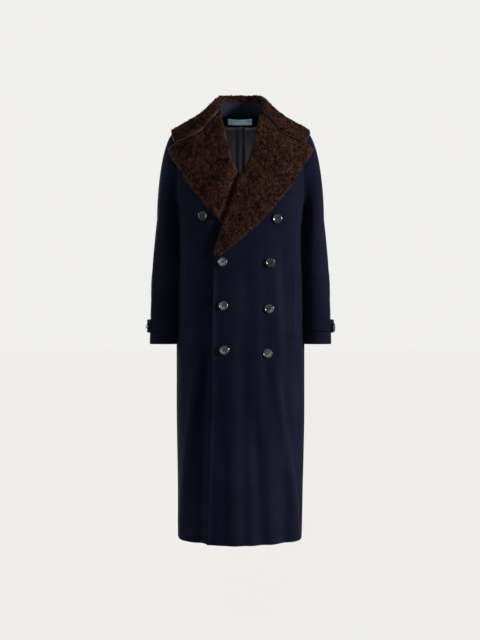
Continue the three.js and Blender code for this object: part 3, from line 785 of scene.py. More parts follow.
FRONT_LEVELS = (
    HEM, -1194, -1188, UNDERARM, -226, -200, -165, -45, 25, 50, 66, 77, 84, SHOULDER_TOP,
)
BACK_LEVELS = (
    HEM, -1194, -1188, UNDERARM, -226, -200, -165, -45, 25, 50, 66, 76, 79, 82, 85, SHOULDER_TOP,
)
ROW_STEP = 8.0
PANEL_COLUMNS = 44
LINE_POINTS = 90  # points of a panel's row before they are spaced evenly
BODY_TURNING, SLEEVE_TURNING = 0.015, 0.012  # metres
CENTRE_GAP = 0.15  # how far from the centre the back's rows start, before the seam is closed
EDGE_RADIUS, EDGE_SHARE = 2.4, 0.45  # a free edge's rounding, and its depth against the cloth
SEAM_RADIUS, SEAM_SINK = 2.6, 0.9  # how wide and how deep the cloth sinks at a seam
# How far the over panel's free edge rolls forward, over how much cloth, below which level
# and within what height it begins
EDGE_ROLL, ROLL_WIDTH, ROLL_TOP, ROLL_FADE = 5.5, 18.0, -385, 70


def panel_wall(grid, free_sides):
    """The faces of a panel, which sinks a little at its seams and is rounded at free edges."""
    sink = lift = 0
    for distance, free in zip(border(grid), free_sides):
        if free:
            fall = rounding(distance, EDGE_RADIUS, CLOTH * EDGE_SHARE)
            sink, lift = np.maximum(sink, fall), np.maximum(lift, fall)
        else:
            sink = np.maximum(sink, rounding(distance, SEAM_RADIUS, SEAM_SINK))
    normals = grid_normals(grid)
    return grid - normals * sink[..., None], grid - normals * (CLOTH - lift)[..., None]


def panel_lines(facing, levels, first, sign):
    """Rows of a panel from where it starts to its armhole or side seam."""
    last = side_share(facing, levels)
    shares = mix(first[:, None], last[:, None], np.linspace(0, 1, LINE_POINTS))
    return body_point(facing, levels[:, None], sign * shares, fine=True)


def edge_roll(from_edge, z):
    """How far the over panel has rolled forward at a distance from its free edge."""
    near = np.clip(1 - from_edge / ROLL_WIDTH, 0, 1)
    return EDGE_ROLL * near**2 * smooth((ROLL_TOP - z) / ROLL_FADE)


def front_grid(over):
    levels = dense(FRONT_LEVELS, ROW_STEP)
    lines = panel_lines(-1, levels, edge_share(levels), 1 if over else -1)
    if over:
        lines[..., 1] -= edge_roll(lines[..., 0] - lines[:, :1, 0], lines[..., 2])
    else:
        lines[..., 1] += under_dip(lines[..., 0], lines[..., 2])
    grid = respaced(lines, PANEL_COLUMNS)
    return grid if over else grid[:, ::-1]


def back_grid(sign):
    levels = dense(BACK_LEVELS, ROW_STEP)
    neck = read(BACK_NECK, "level", "x", levels)
    start = np.where(levels < BACK_NECK["level"][0], CENTRE_GAP, neck)
    lines = panel_lines(1, levels, share_at_x(levels, start), sign)
    grid = respaced(lines, PANEL_COLUMNS)
    return grid[:, ::-1] if sign > 0 else grid


def close_back(grid, faces, sign):
    """Keeps a back's faces on their own side, and on the centre seam below the neck."""
    middle = 0 if sign < 0 else -1
    below_neck = np.abs(grid[:, middle, 0]) < 0.2
    for face in faces:
        face[..., 0] = sign * np.maximum(sign * face[..., 0], 0)
        face[below_neck, middle, 0] = 0


class OVERCOAT_OT_body(bpy.types.Operator):
    """Cuts the two fronts and the two backs in melton"""

    bl_idname = "overcoat.body"
    bl_label = "Fronts and Backs"

    def execute(self, context):
        for side, sign in SIDES:
            over = sign > 0
            grid = front_grid(over)
            self.panel("front_" + side, grid, panel_wall(grid, (over, not over, True, False)))
        for side, sign in SIDES:
            grid = back_grid(sign)
            faces = panel_wall(grid, (False, False, True, False))
            close_back(grid, faces, sign)
            self.panel("back_" + side, grid, faces)
        return {"FINISHED"}

    def panel(self, name, grid, faces):
        piece = closed_wall(name + "_melton", *faces, finish("wool"))
        keep(piece, "wool", name)
        declare(piece, grid, "hung", turning=BODY_TURNING, rests_on=[])


def evenly_sampled(line, count):
    """A line of points cut into a number of equal steps."""
    lengths = lengths_along(line[None])[0]
    want = np.linspace(0, lengths[-1], count + 1)
    return np.stack([np.interp(want, lengths, line[:, k]) for k in range(3)], -1)


ARMHOLE_STEPS = 180


def armhole_edges():
    """The edge of the left armhole, from shoulder to underarm, before and behind."""
    level = mix(SHOULDER_TOP, UNDERARM, np.linspace(0, 1, 61))
    return {
        facing: evenly_sampled(body_point(facing, level, side_share(facing, level)), ARMHOLE_STEPS)
        for facing in FACE
    }


ARMHOLE_EDGE = armhole_edges()
SLEEVE_CREASES = table(
    FOLD_COLUMNS,
    (-380, -540, -30, -14, 6, 2.2, 9),
    (-410, -560, 34, 26, 12, -2.0, 9),
    (-300, -470, 44, 38, 30, 1.8, 10),
)


def body_side(y, level):
    """How far out the side of the body lies, in front of or behind its widest line."""
    half, front, back, square = body_sizes(level, "half", "front", "back", "square")
    ratio = np.minimum(np.abs(y) / np.where(y < 0, front, back), 1)
    return half * (1 - ratio**square) ** (1 / square)


ARMHOLE_TUCK = 3.0  # how far the sleeve's edge is turned in under the edge of the body
TUBE_POWER = 0.9  # below 1 the tube is squarer than an oval
CREASE_MOST = 9  # no crease of the sleeve stands higher
# The cap's curve leaves the armhole outwards and a little down, and reaches the tube from above:
# the first of each pair is at the underarm, and the second is added at the crown
CAP_OUT, CAP_DOWN, CAP_ABOVE = (3, 26), -1, (5, 115)
SLEEVE_COLUMNS = (38, 20)  # of the top and the under piece
SLEEVE_SEAM_RADIUS, SLEEVE_SEAM_SINK = 2.4, 0.8
SEAM_CLEAR = 0.1  # the share of the seam gap that each sleeve piece keeps from the seam
HEAD_ROLL = 1.4  # how far the sleeve's head swells beside the armhole


def sleeve_tube(turn, z):
    """A point of the left sleeve's tube at a turn and height."""
    columns = ("inner", "outer", "middle", "depth")
    inner, outer, middle, depth = (read(SLEEVE, "z", column, z) for column in columns)
    cosine, sine = np.cos(turn), np.sin(turn)
    y = middle - depth * (np.sign(sine) * np.abs(sine) ** TUBE_POWER)
    x = (inner + outer) / 2 + (outer - inner) / 2 * (np.sign(cosine) * np.abs(cosine) ** TUBE_POWER)
    x = np.maximum(x, body_side(y, z) + SLEEVE_REST)
    folds = fold_height(SLEEVE_FOLDS, y, z) + fold_height(SLEEVE_CREASES, y, z)
    crease = np.minimum(folds * np.maximum(cosine, 0), CREASE_MOST)
    return np.stack([x + crease * (z < CAP_LEVEL), y, z + 0 * x], -1)


def sleeve_point(turn, along):
    """A point of the left sleeve: turn 0 is the outer line; along 0 to 1 the cap, 1 to 2 the tube."""
    turn, along = np.broadcast_arrays(np.asarray(turn, float), np.asarray(along, float))
    turn = np.mod(turn + 2 * math.pi, 2 * math.pi)
    z = np.where(along <= 1, CAP_LEVEL, mix(CAP_LEVEL, CUFF, along - 1))
    tube = sleeve_tube(turn, z)
    share = np.where(turn <= math.pi, turn, 2 * math.pi - turn) / math.pi * ARMHOLE_STEPS
    steps = np.arange(ARMHOLE_STEPS + 1)
    edge = np.zeros(tube.shape)
    for facing, mask in ((-1, turn <= math.pi), (1, turn > math.pi)):
        for k in range(3):
            value = np.interp(share, steps, ARMHOLE_EDGE[facing][:, k])
            edge[..., k] = np.where(mask, value, edge[..., k])
    edge[..., 0] -= ARMHOLE_TUCK
    crown = (1 + np.cos(turn)) / 2
    flat = 0 * crown
    leave = edge + np.stack([CAP_OUT[0] + CAP_OUT[1] * crown, flat, CAP_DOWN + flat], -1)
    arrive = tube + np.stack([flat, flat, CAP_ABOVE[0] + CAP_ABOVE[1] * crown], -1)
    t = np.clip(along, 0, 1)[..., None]
    cap = edge * (1 - t) ** 3 + 3 * leave * t * (1 - t) ** 2
    cap = cap + 3 * arrive * t * t * (1 - t) + tube * t**3
    return np.where((along <= 1)[..., None], cap, tube)


def sleeve_rows():
    """Places along the sleeve from cuff to armhole, closer together at both ends."""
    cap, tube = np.linspace(0.05, 1, 30), np.linspace(1.02, 1.985, 56)
    return np.concatenate([[0, 0.008, 0.02], cap, tube, [1.992, 2]])[::-1]


def whole_sleeve(alongs):
    """The left sleeve as one grid, which way it faces, and the column of its front seam."""
    seams = (-SEAM_BACK, SEAM_FRONT, 2 * math.pi - SEAM_BACK)
    arcs = []
    for start, end, count in zip(seams, seams[1:], SLEEVE_COLUMNS):
        lines = sleeve_point(np.linspace(start, end, 120)[None], alongs[:, None])
        arcs.append(respaced(lines, count))
    whole = np.concatenate([arcs[0], arcs[1][:, 1:]], 1)
    wrapped = np.concatenate([whole[:, -2:-1], whole, whole[:, 1:2]], 1)
    return whole, -grid_normals(wrapped)[:, 1:-1], arcs[0].shape[1] - 1


def sleeve_grids():
    """The plain grid and both faces of the left sleeve's top and under pieces."""
    alongs = sleeve_rows()
    whole, normals, split = whole_sleeve(alongs)
    down, z = alongs[:, None], whole[..., 2]
    seam_dip = SEAM_SINK * np.exp(-(((z - CUFF_SEAM) / 1.6) ** 2)) * (down > 1)
    roll = HEAD_ROLL * smooth(down / 0.05) * smooth((0.3 - down) / 0.25)
    hem = rounding(np.abs(z - CUFF), EDGE_RADIUS, SLEEVE_CLOTH * EDGE_SHARE) * (down > 1.9)
    column = lengths_along(whole)
    parts = {}
    for name, low, high in (("top", 0, split), ("under", split, whole.shape[1] - 1)):
        here = slice(low, high + 1)
        ends = column[:, here] - column[:, low : low + 1], column[:, high : high + 1] - column[:, here]
        dips = [rounding(distance, SLEEVE_SEAM_RADIUS, SLEEVE_SEAM_SINK) for distance in ends]
        sink = np.maximum(*dips) + seam_dip[:, here] + hem[:, here] - roll
        base = whole[:, here].copy()
        for end, towards in ((0, 1), (-1, -2)):
            base[:, end] += unit(base[:, towards] - base[:, end]) * SEAM_GAP * SEAM_CLEAR
        outer = base - normals[:, here] * sink[..., None]
        inner = base - normals[:, here] * (SLEEVE_CLOTH - hem[:, here])[..., None]
        parts[name] = (base[:, ::-1], outer[:, ::-1], inner[:, ::-1])
    return parts


class OVERCOAT_OT_sleeves(bpy.types.Operator):
    """Cuts the top and under pieces of both sleeves in melton"""

    bl_idname = "overcoat.sleeves"
    bl_label = "Sleeves"

    def execute(self, context):
        parts = sleeve_grids()
        for side, sign in SIDES:
            for kind, (base, *faces) in parts.items():
                name = f"sleeve_{kind}_{side}"
                outer, inner = (flipped(face, sign) for face in faces)
                piece = closed_wall(name + "_melton", outer, inner, finish("wool"))
                keep(piece, "wool", name)
                declare(piece, base, "hung", turning=SLEEVE_TURNING, rests_on=[])
        return {"FINISHED"}


def through(points, t):
    """A centripetal curve through points, at shares t of its spans."""
    points = np.asarray(points, float)
    spans = len(points) - 1
    place = np.clip(np.asarray(t, float), 0, 1) * spans
    i = np.minimum(place.astype(int), spans - 1)
    w = (place - i)[:, None]
    before = np.concatenate([[2 * points[0] - points[1]], points[:-1]])
    after = np.concatenate([points[2:], [2 * points[-1] - points[-2]]])
    p0, p1, p2, p3 = before[i], points[i], points[i + 1], after[i]
    gap = lambda a, b: np.maximum(np.linalg.norm(b - a, axis=1, keepdims=True) ** 0.5, 1e-4)
    d0, d1, d2 = gap(p0, p1), gap(p1, p2), gap(p2, p3)
    t1 = ((p1 - p0) / d0 - (p2 - p0) / (d0 + d1) + (p2 - p1) / d1) * d1
    t2 = ((p2 - p1) / d1 - (p3 - p1) / (d1 + d2) + (p3 - p2) / d2) * d1
    c2, c3 = -3 * p1 + 3 * p2 - 2 * t1 - t2, 2 * p1 - 2 * p2 + t1 + t2
    return p1 + t1 * w + c2 * w**2 + c3 * w**3


def collar_line(name, count):
    """One of the collar's named lines, from the centre of the back to its end."""
    points = np.stack([COLLAR[f"{name}_{axis}"] for axis in "xyz"], -1)
    return through(points, np.linspace(0, 1, count))


def collar_grid(around, across):
    """The pile side of the left half of the collar, rows from the centre to its end."""
    lines = [collar_line(name, around) for name in ("inner", "fold", "middle", "outer")]
    rows = []
    for i in range(around):
        section = through([line[i] for line in lines], np.linspace(0, 1, 80))
        rows.append(evenly_sampled(section, across - 1))
    return np.array(rows)[:, ::-1]


def even_curve(rows, t, count=200):
    """Points in x and z at shares t of the length of the curve through a table's rows."""
    points = np.stack([rows["x"], 0 * rows["x"], rows["z"]], -1)
    curve = through(points, np.linspace(0, 1, count + 1))
    lengths = lengths_along(curve[None])[0]
    want = np.asarray(t) * lengths[-1]
    return np.stack([np.interp(want, lengths, curve[:, k]) for k in (0, 2)], -1)


def lapel_plan(columns, rows):
    """The lapel's outline filled with a grid, in x and z."""
    on_roll = (FRONT_EDGE["z"] > ROLL_LEVELS[0]) & (FRONT_EDGE["z"] < ROLL_LEVELS[1])
    roll = {"x": FRONT_EDGE["x"][on_roll] - ROLL_OUT, "z": FRONT_EDGE["z"][on_roll].copy()}
    roll["x"][-1], roll["z"][-1] = LAPEL_HEAD
    foot_x = (roll["x"][0] + LAPEL_OUTER["x"][0]) / 2
    bottom = {
        "x": np.array([roll["x"][0], foot_x, LAPEL_OUTER["x"][0]]),
        "z": np.array([roll["z"][0], LAPEL_FOOT, LAPEL_OUTER["z"][0]]),
    }
    top = {axis: np.concatenate([[head], LAPEL_TOP[axis]]) for axis, head in zip("xz", LAPEL_HEAD)}
    u, v = np.linspace(0, 1, columns), np.linspace(0, 1, rows)
    left, right = even_curve(roll, v)[:, None], even_curve(LAPEL_OUTER, v)[:, None]
    low, high = even_curve(bottom, u)[None], even_curve(top, u)[None]
    u, v = u[None, :, None], v[:, None, None]
    plan = mix(left, right, u) + mix(low, high, v)
    return plan - mix(mix(low[:, :1], low[:, -1:], u), mix(high[:, :1], high[:, -1:], u), v)


def lapel_depth(x, z, hidden):
    """How far forward the lapel lies: on the body where hidden, else draped across the chest."""
    half, depth, square = body_sizes(level_at(x, z), "half", "front", "square")
    body = depth * np.maximum(1 - (np.abs(x) / half) ** square, 0) ** (1 / square)
    drape = depth * (1 - (np.abs(x) / LAPEL_SPREAD) ** DRAPE_POWER) ** (1 / DRAPE_POWER)
    return np.maximum(body, mix(drape, body, hidden))


def lapel_faces(over, columns, rows):
    """The lapel's face that lies on the front, and the one at the tips of the pile."""
    plan = lapel_plan(columns, rows)
    x, z = plan[..., 0], plan[..., 1]
    beyond = -x - read(FRONT_EDGE, "z", "x", z)
    hidden = 0 * x if over else smooth((beyond + 30) / 26)
    gap = mix(LOOSE_GAP if over else 2.7 * LOOSE_GAP, 2.9 * LOOSE_GAP, smooth((z + 40) / 60))
    pressed = DIP_LAPEL - CLOTH - 4.7 * LOOSE_GAP
    sign = 1 if over else -1
    dip = 0 * x if over else under_dip(sign * x, z)
    base = lapel_depth(sign * x, z, hidden) - dip + gap
    thick = mix(SHEARLING, pressed, hidden)
    under = np.stack([sign * x, -base, z], -1)
    tips = np.stack([sign * x, -(base + thick), z], -1)
    if over:
        return under, tips, thick
    return under[:, ::-1], tips[:, ::-1], thick[:, ::-1]


def cell_domes(u, v, size, seed):
    """Rounded bumps on an uneven honeycomb: 1 at a cell's middle, 0 between cells."""
    random = np.random.default_rng(seed).random((64, 64, 2))
    cu, cv = np.floor(u / size).astype(int), np.floor(v / size).astype(int)
    nearest = np.full(u.shape, 9.0)
    second = np.full(u.shape, 9.0)
    for du in (-1, 0, 1):
        for dv in (-1, 0, 1):
            jitter = random[(cu + du) % 64, (cv + dv) % 64]
            distance = np.hypot(cu + du + jitter[..., 0] - u / size, cv + dv + jitter[..., 1] - v / size)
            second = np.minimum(second, np.maximum(nearest, distance))
            nearest = np.minimum(nearest, distance)
    return np.clip((second - nearest) * 1.6, 0, 1) ** 0.6


LAPEL_CUT, COLLAR_CUT = (84, 122), (88, 58)  # how finely each is cut
SKIN = 2.2  # thickness of the shearling's skin
PILE_EDGE = 6.5  # how far in from its edge the pile is at its full height
PILE_CLEAR = 0.4  # how far the pile's surface, without its curls, stays below the solid's
CUT_EDGE = 1.5  # how far the skin's cut edge stands out past the pile
CENTRE_OVERLAP = 0.7  # how far each half's pile leans over the collar's centre seam


CURL_SEGMENTS, CURL_SIDES = 5, 3
CURL_TURN, CURL_START = math.radians(250), 0.9  # how far a curl bends round, and from where
CURL_THICKNESS, CURL_TAPER, CURL_RISE = 0.27, 0.55, 0.25
CURL_LEAN, CURL_SIZES = 0.9, (0.6, 1.25)  # the most a curl leans, and its least and most size


def curl_mesh():
    """One curl: a thin, three-sided tube bent round most of a circle."""
    radius = bpy.context.scene.overcoat_sizes.curl_radius
    thickness = radius * CURL_THICKNESS
    points, faces = [], []
    for i in range(CURL_SEGMENTS + 1):
        turn = CURL_TURN * i / CURL_SEGMENTS - CURL_START
        taper = 1 - CURL_TAPER * abs(2 * i / CURL_SEGMENTS - 1) ** 2
        for k in range(CURL_SIDES):
            around = 2 * math.pi * k / CURL_SIDES
            r = radius + thickness * taper * math.cos(around)
            rise = CURL_RISE * radius * i / CURL_SEGMENTS
            y = thickness * taper * math.sin(around) + rise
            points.append((r * math.cos(turn), y, r * math.sin(turn)))
    for i in range(CURL_SEGMENTS):
        for k in range(CURL_SIDES):
            a, b = CURL_SIDES * i + k, CURL_SIDES * i + (k + 1) % CURL_SIDES
            faces.append((a, b, b + CURL_SIDES, a + CURL_SIDES))
    last = CURL_SIDES * CURL_SEGMENTS
    faces += [(2, 1, 0), (last, last + 1, last + 2)]
    mesh = bpy.data.meshes.new("curl")
    mesh.from_pydata(points, [], faces)
    mesh.polygons.foreach_set("use_smooth", np.ones(len(faces), bool))
    return mesh


def tree_with(name, inputs):
    """A geometry node tree with a Geometry socket each way and named inputs."""
    tree = bpy.data.node_groups.new(name, "GeometryNodeTree")
    tree.interface.new_socket("Geometry", in_out="INPUT", socket_type="NodeSocketGeometry")
    tree.interface.new_socket("Geometry", in_out="OUTPUT", socket_type="NodeSocketGeometry")
    identifiers = {}
    for label, kind in inputs.items():
        made = tree.interface.new_socket(label, in_out="INPUT", socket_type=kind)
        identifiers[label] = made.identifier
    start = tree.nodes.new("NodeGroupInput")
    end = tree.nodes.new("NodeGroupOutput")
    return tree, start, end, identifiers


def run_tree(piece, tree, identifiers, values):
    """Runs a tree on a piece and keeps the result as its plain mesh."""
    modifier = piece.modifiers.new("made", "NODES")
    modifier.node_group = tree
    for label, value in values.items():
        modifier[identifiers[label]] = value
    graph = bpy.context.evaluated_depsgraph_get()
    made = bpy.data.meshes.new_from_object(piece.evaluated_get(graph), depsgraph=graph)
    piece.modifiers.clear()
    old = piece.data
    piece.data = made
    made.name = piece.name
    bpy.data.meshes.remove(old)


def curl_tree():
    """Curls scattered on a pile, each turned at random about the pile's direction."""
    inputs = {"Curl": "NodeSocketObject", "Density": "NodeSocketFloat", "Seed": "NodeSocketInt",
              "Material": "NodeSocketMaterial"}
    tree, start, end, identifiers = tree_with("Shearling Curls", inputs)
    given = start.outputs
    tips = node(tree, "GeometryNodeInputNamedAttribute", {"data_type": "BOOLEAN"}, {"Name": "tips"})
    points = node(tree, "GeometryNodeDistributePointsOnFaces", {"distribute_method": "RANDOM"}, {
        "Mesh": given["Geometry"], "Density": given["Density"],
        "Selection": tips, "Seed": given["Seed"]})
    spin = node(tree, "FunctionNodeRandomValue", {"data_type": "FLOAT_VECTOR"}, {
        0: (-CURL_LEAN, -CURL_LEAN, 0.0), 1: (CURL_LEAN, CURL_LEAN, 6.2832), "Seed": given["Seed"]})
    by = node(tree, "FunctionNodeEulerToRotation", {}, {"Euler": spin})
    turned = node(tree, "FunctionNodeRotateRotation", {"rotation_space": "LOCAL"}, {
        "Rotation": points.beside("Rotation"), "Rotate By": by})
    size = node(tree, "FunctionNodeRandomValue", {"data_type": "FLOAT"}, {
        2: CURL_SIZES[0], 3: CURL_SIZES[1], "Seed": given["Seed"]}, output=1)
    curl = node(tree, "GeometryNodeObjectInfo", {}, {"Object": given["Curl"]}, output=4)
    placed = node(tree, "GeometryNodeInstanceOnPoints", {}, {
        "Points": points, "Instance": curl, "Rotation": turned, "Scale": size})
    real = node(tree, "GeometryNodeRealizeInstances", {}, {"Geometry": placed})
    painted = node(tree, "GeometryNodeSetMaterial", {}, {
        "Geometry": real, "Material": given["Material"]})
    joined = tree.nodes.new("GeometryNodeJoinGeometry")
    fill(tree, joined.inputs[0], painted)
    fill(tree, joined.inputs[0], given["Geometry"])
    fill(tree, end.inputs["Geometry"], joined.outputs[0])
    return tree, identifiers


def pile_relief(first, below, seed):
    """Height of the pile's clumps over a grid, as a share of its full height."""
    size = bpy.context.scene.overcoat_sizes.clump_size / MM
    big = cell_domes(first, below, size, seed)
    small = cell_domes(first + 3, below + 5, size * 0.42, seed + 50)
    swell = cell_domes(first + 9, below + 2, size * 3.1, seed + 90)
    return 0.30 + 0.38 * big + 0.14 * small + 0.14 * swell


def mark_pile(pile, tips, relief):
    """Notes where curls may stand and how high the pile is, for its tree and for its material's painted
    light and shade.
    """
    count = len(pile.data.vertices) // 2
    tip = pile.data.attributes.new("tips", "BOOLEAN", "POINT")
    tip.data.foreach_set("value", np.concatenate([tips.reshape(-1), np.zeros(count, bool)]))
    height = pile.data.attributes.new("pile_height", "FLOAT", "POINT")
    height.data.foreach_set("value", np.concatenate([relief.reshape(-1), np.zeros(count)]))


def shearling(name, under, tips, thick, seed, curls, centre_seam=False):
    """The skin of one shearling piece as a sheet, and its pile of curls on it."""
    sizes = bpy.context.scene.overcoat_sizes
    away = unit(tips - under)
    first, last, below, above = border(tips)
    near = np.minimum.reduce([first, last, above] if centre_seam else [first, last, below, above])
    skin_face = under + away * np.minimum(SKIN, thick * 0.4)[..., None]
    skin_piece = closed_wall(name + "_skin", skin_face, under, finish("skin"))
    keep(skin_piece, "shearling", name)
    relief = pile_relief(first, below, seed)
    t = np.clip(1 - (near - CUT_EDGE) / PILE_EDGE, 0, 1)
    height = (thick - SKIN - PILE_CLEAR) * relief * np.sqrt(1 - t * t * 0.985)
    pile_face = skin_face + away * height[..., None]
    inwards = skin_face + away * 0.05
    if centre_seam:
        across_centre = np.sign(tips[1, :, 0]) * CENTRE_OVERLAP
        pile_face[0, :, 0] -= across_centre
        inwards[0, :, 0] -= across_centre
    pile = closed_wall(name + "_pile", pile_face, inwards, finish("pile"))
    mark_pile(pile, (thick > 7) & (near > 1.2), relief)
    tree, identifiers, curl = curls
    run_tree(pile, tree, identifiers, {
        "Curl": curl, "Density": sizes.curl_density, "Seed": sizes.curl_seed + seed,
        "Material": finish("curls")})
    keep(pile, "shearling", name)
    declare(skin_piece, skin_face, "folded", turning=0.0, rests_on=[], with_pieces=[pile])


class OVERCOAT_OT_shearling(bpy.types.Operator):
    """Makes the skin and curly pile of both lapels and both halves of the collar"""

    bl_idname = "overcoat.shearling"
    bl_label = "Shearling Collar and Lapels"

    def execute(self, context):
        curl = link("curl", curl_mesh())
        curls = (*curl_tree(), curl)
        for seed, (side, sign) in enumerate(SIDES, 1):
            shearling("lapel_" + side, *lapel_faces(sign > 0, *LAPEL_CUT), seed, curls)
        grid = collar_grid(*COLLAR_CUT)
        inner = grid - grid_normals(grid) * SHEARLING
        close_centre(grid, inner)
        thick = np.full(grid.shape[:2], SHEARLING)
        for seed, (side, sign) in enumerate(SIDES, 3):
            faces = flipped(inner, sign), flipped(grid, sign)
            shearling("collar_" + side, *faces, thick, seed, curls, centre_seam=True)
        bpy.data.objects.remove(curl)
        return {"FINISHED"}


STAND_TUCK = 3.5  # how far the stand's top is turned in under the pile
STAND_WAIST = 0.02  # the share of its distance from the centre by which its middle draws in


def stand_grid():
    """The left half of the collar stand, from under the pile down and out to the neck's edge."""
    upper = collar_line("inner", 60)
    lower = through(np.stack([NECK_SEAM[c] for c in "xyz"], -1), np.linspace(0, 1, 60))
    top = upper + unit(upper * [1, 1, 0]) * STAND_TUCK
    top[:, 2] = np.maximum(upper[:, 2] + 1.5, lower[:, 2] + 3)
    middle = mix(mix(lower, top, 0.5), lower * [0, 0, 1], STAND_WAIST)
    rows = [through([a, b, c], np.linspace(0, 1, 9)) for a, b, c in zip(lower, middle, top)]
    return np.concatenate([seam_turning(lower), np.array(rows)], 1)[:, ::-1]


def neck_edge():
    """The edge of the neck opening, round the back and down the front."""
    back = np.linspace(BACK_NECK["level"][0], SHOULDER_TOP, 60)
    front = np.linspace(SHOULDER_TOP, 64, 90)
    behind = body_point(1, back, share_at_x(back, read(BACK_NECK, "level", "x", back)))
    before = body_point(-1, front, edge_share(front))
    return np.concatenate([behind, before])


def seam_turning(lower):
    """Rows that carry the stand's lower edge out to the neck opening."""
    edge = neck_edge()
    far = np.linalg.norm(lower[:, None] - edge[None], axis=-1)
    reach = edge[far.argmin(1)] - [0, 0, 1.2]
    return np.stack([mix(reach, lower, t) for t in (0, 0.33, 0.67)], 1)


def neck_height(x):
    """Height of the back's neck curve at x."""
    level = np.interp(np.abs(x), BACK_NECK["x"], BACK_NECK["level"])
    return level - slant_at(level, x)


def inside_wall(name, x, z, depth, thickness, finish_name, shape=0):
    """A wall just inside the back, over a grid of x and z."""
    grid = back_point(x, z, shape)
    normals = grid_normals(grid)
    face = grid + normals * depth
    return face, closed_wall(name, face, face - grid_normals(face) * thickness, finish(finish_name))


class OVERCOAT_OT_neck(bpy.types.Operator):
    """Makes the collar stand, the neck facing, the back lining with its pleat, and the bare label"""

    bl_idname = "overcoat.neck"
    bl_label = "Stand, Facing, Lining and Label"

    def execute(self, context):
        self.stand()
        self.facing()
        self.lining()
        self.label()
        return {"FINISHED"}

    def stand(self):
        grid = stand_grid()
        inner = grid - grid_normals(grid) * SLEEVE_CLOTH
        close_centre(grid, inner)
        for side, sign in SIDES:
            name = "collar_stand_" + side
            faces = flipped(grid, sign), flipped(inner, sign)
            # The felt's lighter colour is painted light for the stand, which lies in shade
            piece = closed_wall(name + "_felt", *faces, finish("felt"))
            keep(piece, "wool", name)
            declare(piece, grid, "folded", rests_on=[])

    def facing(self):
        x = FACING["half"] * np.linspace(-1, 1, 61)[None]
        top = neck_height(x) - FACING["below"]
        z = mix(FACING["bottom"], top, np.linspace(0, 1, 20)[:, None])
        thickness = FACING["thickness"]
        face, piece = inside_wall(
            "neck_facing_melton", x + 0 * z, z, FACING_DEPTH, thickness, "wool")
        keep(piece, "wool", "neck_facing")
        declare(piece, face, "hung", rests_on=[])

    def lining(self):
        size = LINING_BACK
        levels = dense((size["bottom"], -330, -80, size["top"]), 9.0)[:, None]
        width = mix(size["half"], size["neck_half"], smooth((levels + 60) / 110))
        u = np.linspace(-1, 1, 121)[None]
        x = width * (np.sign(u) * np.abs(u) ** 1.35)
        z = levels + 0 * x
        open_pleat = smooth((z - size["pleat_end"]) / 260)
        near = np.clip(1 - np.abs(x) / size["pleat_half"], 0, 1)
        shape = -size["pleat"] * open_pleat * smooth(near)
        beside_pleat = smooth((np.abs(x) - 20) / 30) * smooth((z + 500) / 300)
        ripple = 1.2 * np.sin(x / 11 + z / 90) * beside_pleat
        depth = CLOTH + 3 * LOOSE_GAP + LINING
        face, piece = inside_wall(
            "lining_back_twill", x, z, depth, LINING, "lining", shape + ripple - 1.3)
        keep(piece, "lining", "lining_back")
        declare(piece, face, "hung", rests_on=[])

    def label(self):
        x = np.linspace(LABEL["left"], LABEL["right"], 41)[None]
        z = np.linspace(LABEL["bottom"], LABEL["top"], 12)[:, None]
        thickness = LABEL["thickness"]
        depth = FACING_DEPTH + LOOSE_GAP + thickness
        face, piece = inside_wall("label_tape", x + 0 * z, z + 0 * x, depth, thickness, "label")
        keep(piece, "label", "label")
        declare(piece, face, "laid", rests_on=["neck_facing_melton"])


def sleeve_middle(along):
    """The middle of the left sleeve's tube."""
    return (sleeve_point(0, along) + sleeve_point(math.pi, along)) / 2


# How far the strap's buttoned end stands off the sleeve, and from which turn it does
STRAP_SLACK, STRAP_LOOSE = 6.0, math.radians(62)
STRAP_GAP = LOOSE_GAP * 0.7
STITCH_LIFT = 0.05  # how far sewing stands on a welt or strap


def strap_along(z):
    """Where along the tube a height lies."""
    return 1 + (z - CAP_LEVEL) / (CUFF - CAP_LEVEL)


def strap_slack(turn):
    """How far the strap's buttoned end stands off the sleeve."""
    return STRAP_SLACK * smooth((STRAP_LOOSE - turn) / STRAP_LOOSE)


def strap_grid(sign, columns=90, rows=16):
    """The surface that a strap lies on, slack at its buttoned end, and which way it faces."""
    t, r = np.linspace(0, 1, columns)[None], np.linspace(0, 1, rows)[:, None]
    turn = mix(STRAP["start"], STRAP["end"], t) + 0 * r
    z = mix(STRAP["bottom"], STRAP["top"], r) + STRAP["rise"] * (1 - t) * (1 - r)
    along = strap_along(z)
    place = sleeve_point(turn, along)
    away = place - sleeve_middle(along)
    away[..., 2] = 0
    away = unit(away)
    base = place + away * strap_slack(turn)[..., None]
    return flipped(base, sign), flipped(away, sign)


def laid_wall(name, base, away, gap, thickness, radius):
    """A flat piece laid on a surface, with rounded edges."""
    near = np.minimum.reduce(border(base))
    fall = rounding(near, radius, thickness * 0.55)
    outer = base + away * (gap + thickness - fall)[..., None]
    return outer, closed_wall(name, outer, base + away * gap, finish("wool"))


WELT_GAP = -1.3  # the welts sink this far into the cloth that they are sewn to


def welt_grid(sign, columns=26, rows=90):
    """The front's surface under a pocket welt, and which way it faces."""
    x = np.linspace(WELT["front_x"], WELT["side_x"], columns)[None] * sign
    z = np.linspace(WELT["bottom"], WELT["top"], rows)[:, None]
    grid = front_point(x + 0 * z, z + 0 * x)
    grid = grid if sign > 0 else grid[:, ::-1]
    return grid, grid_normals(grid)


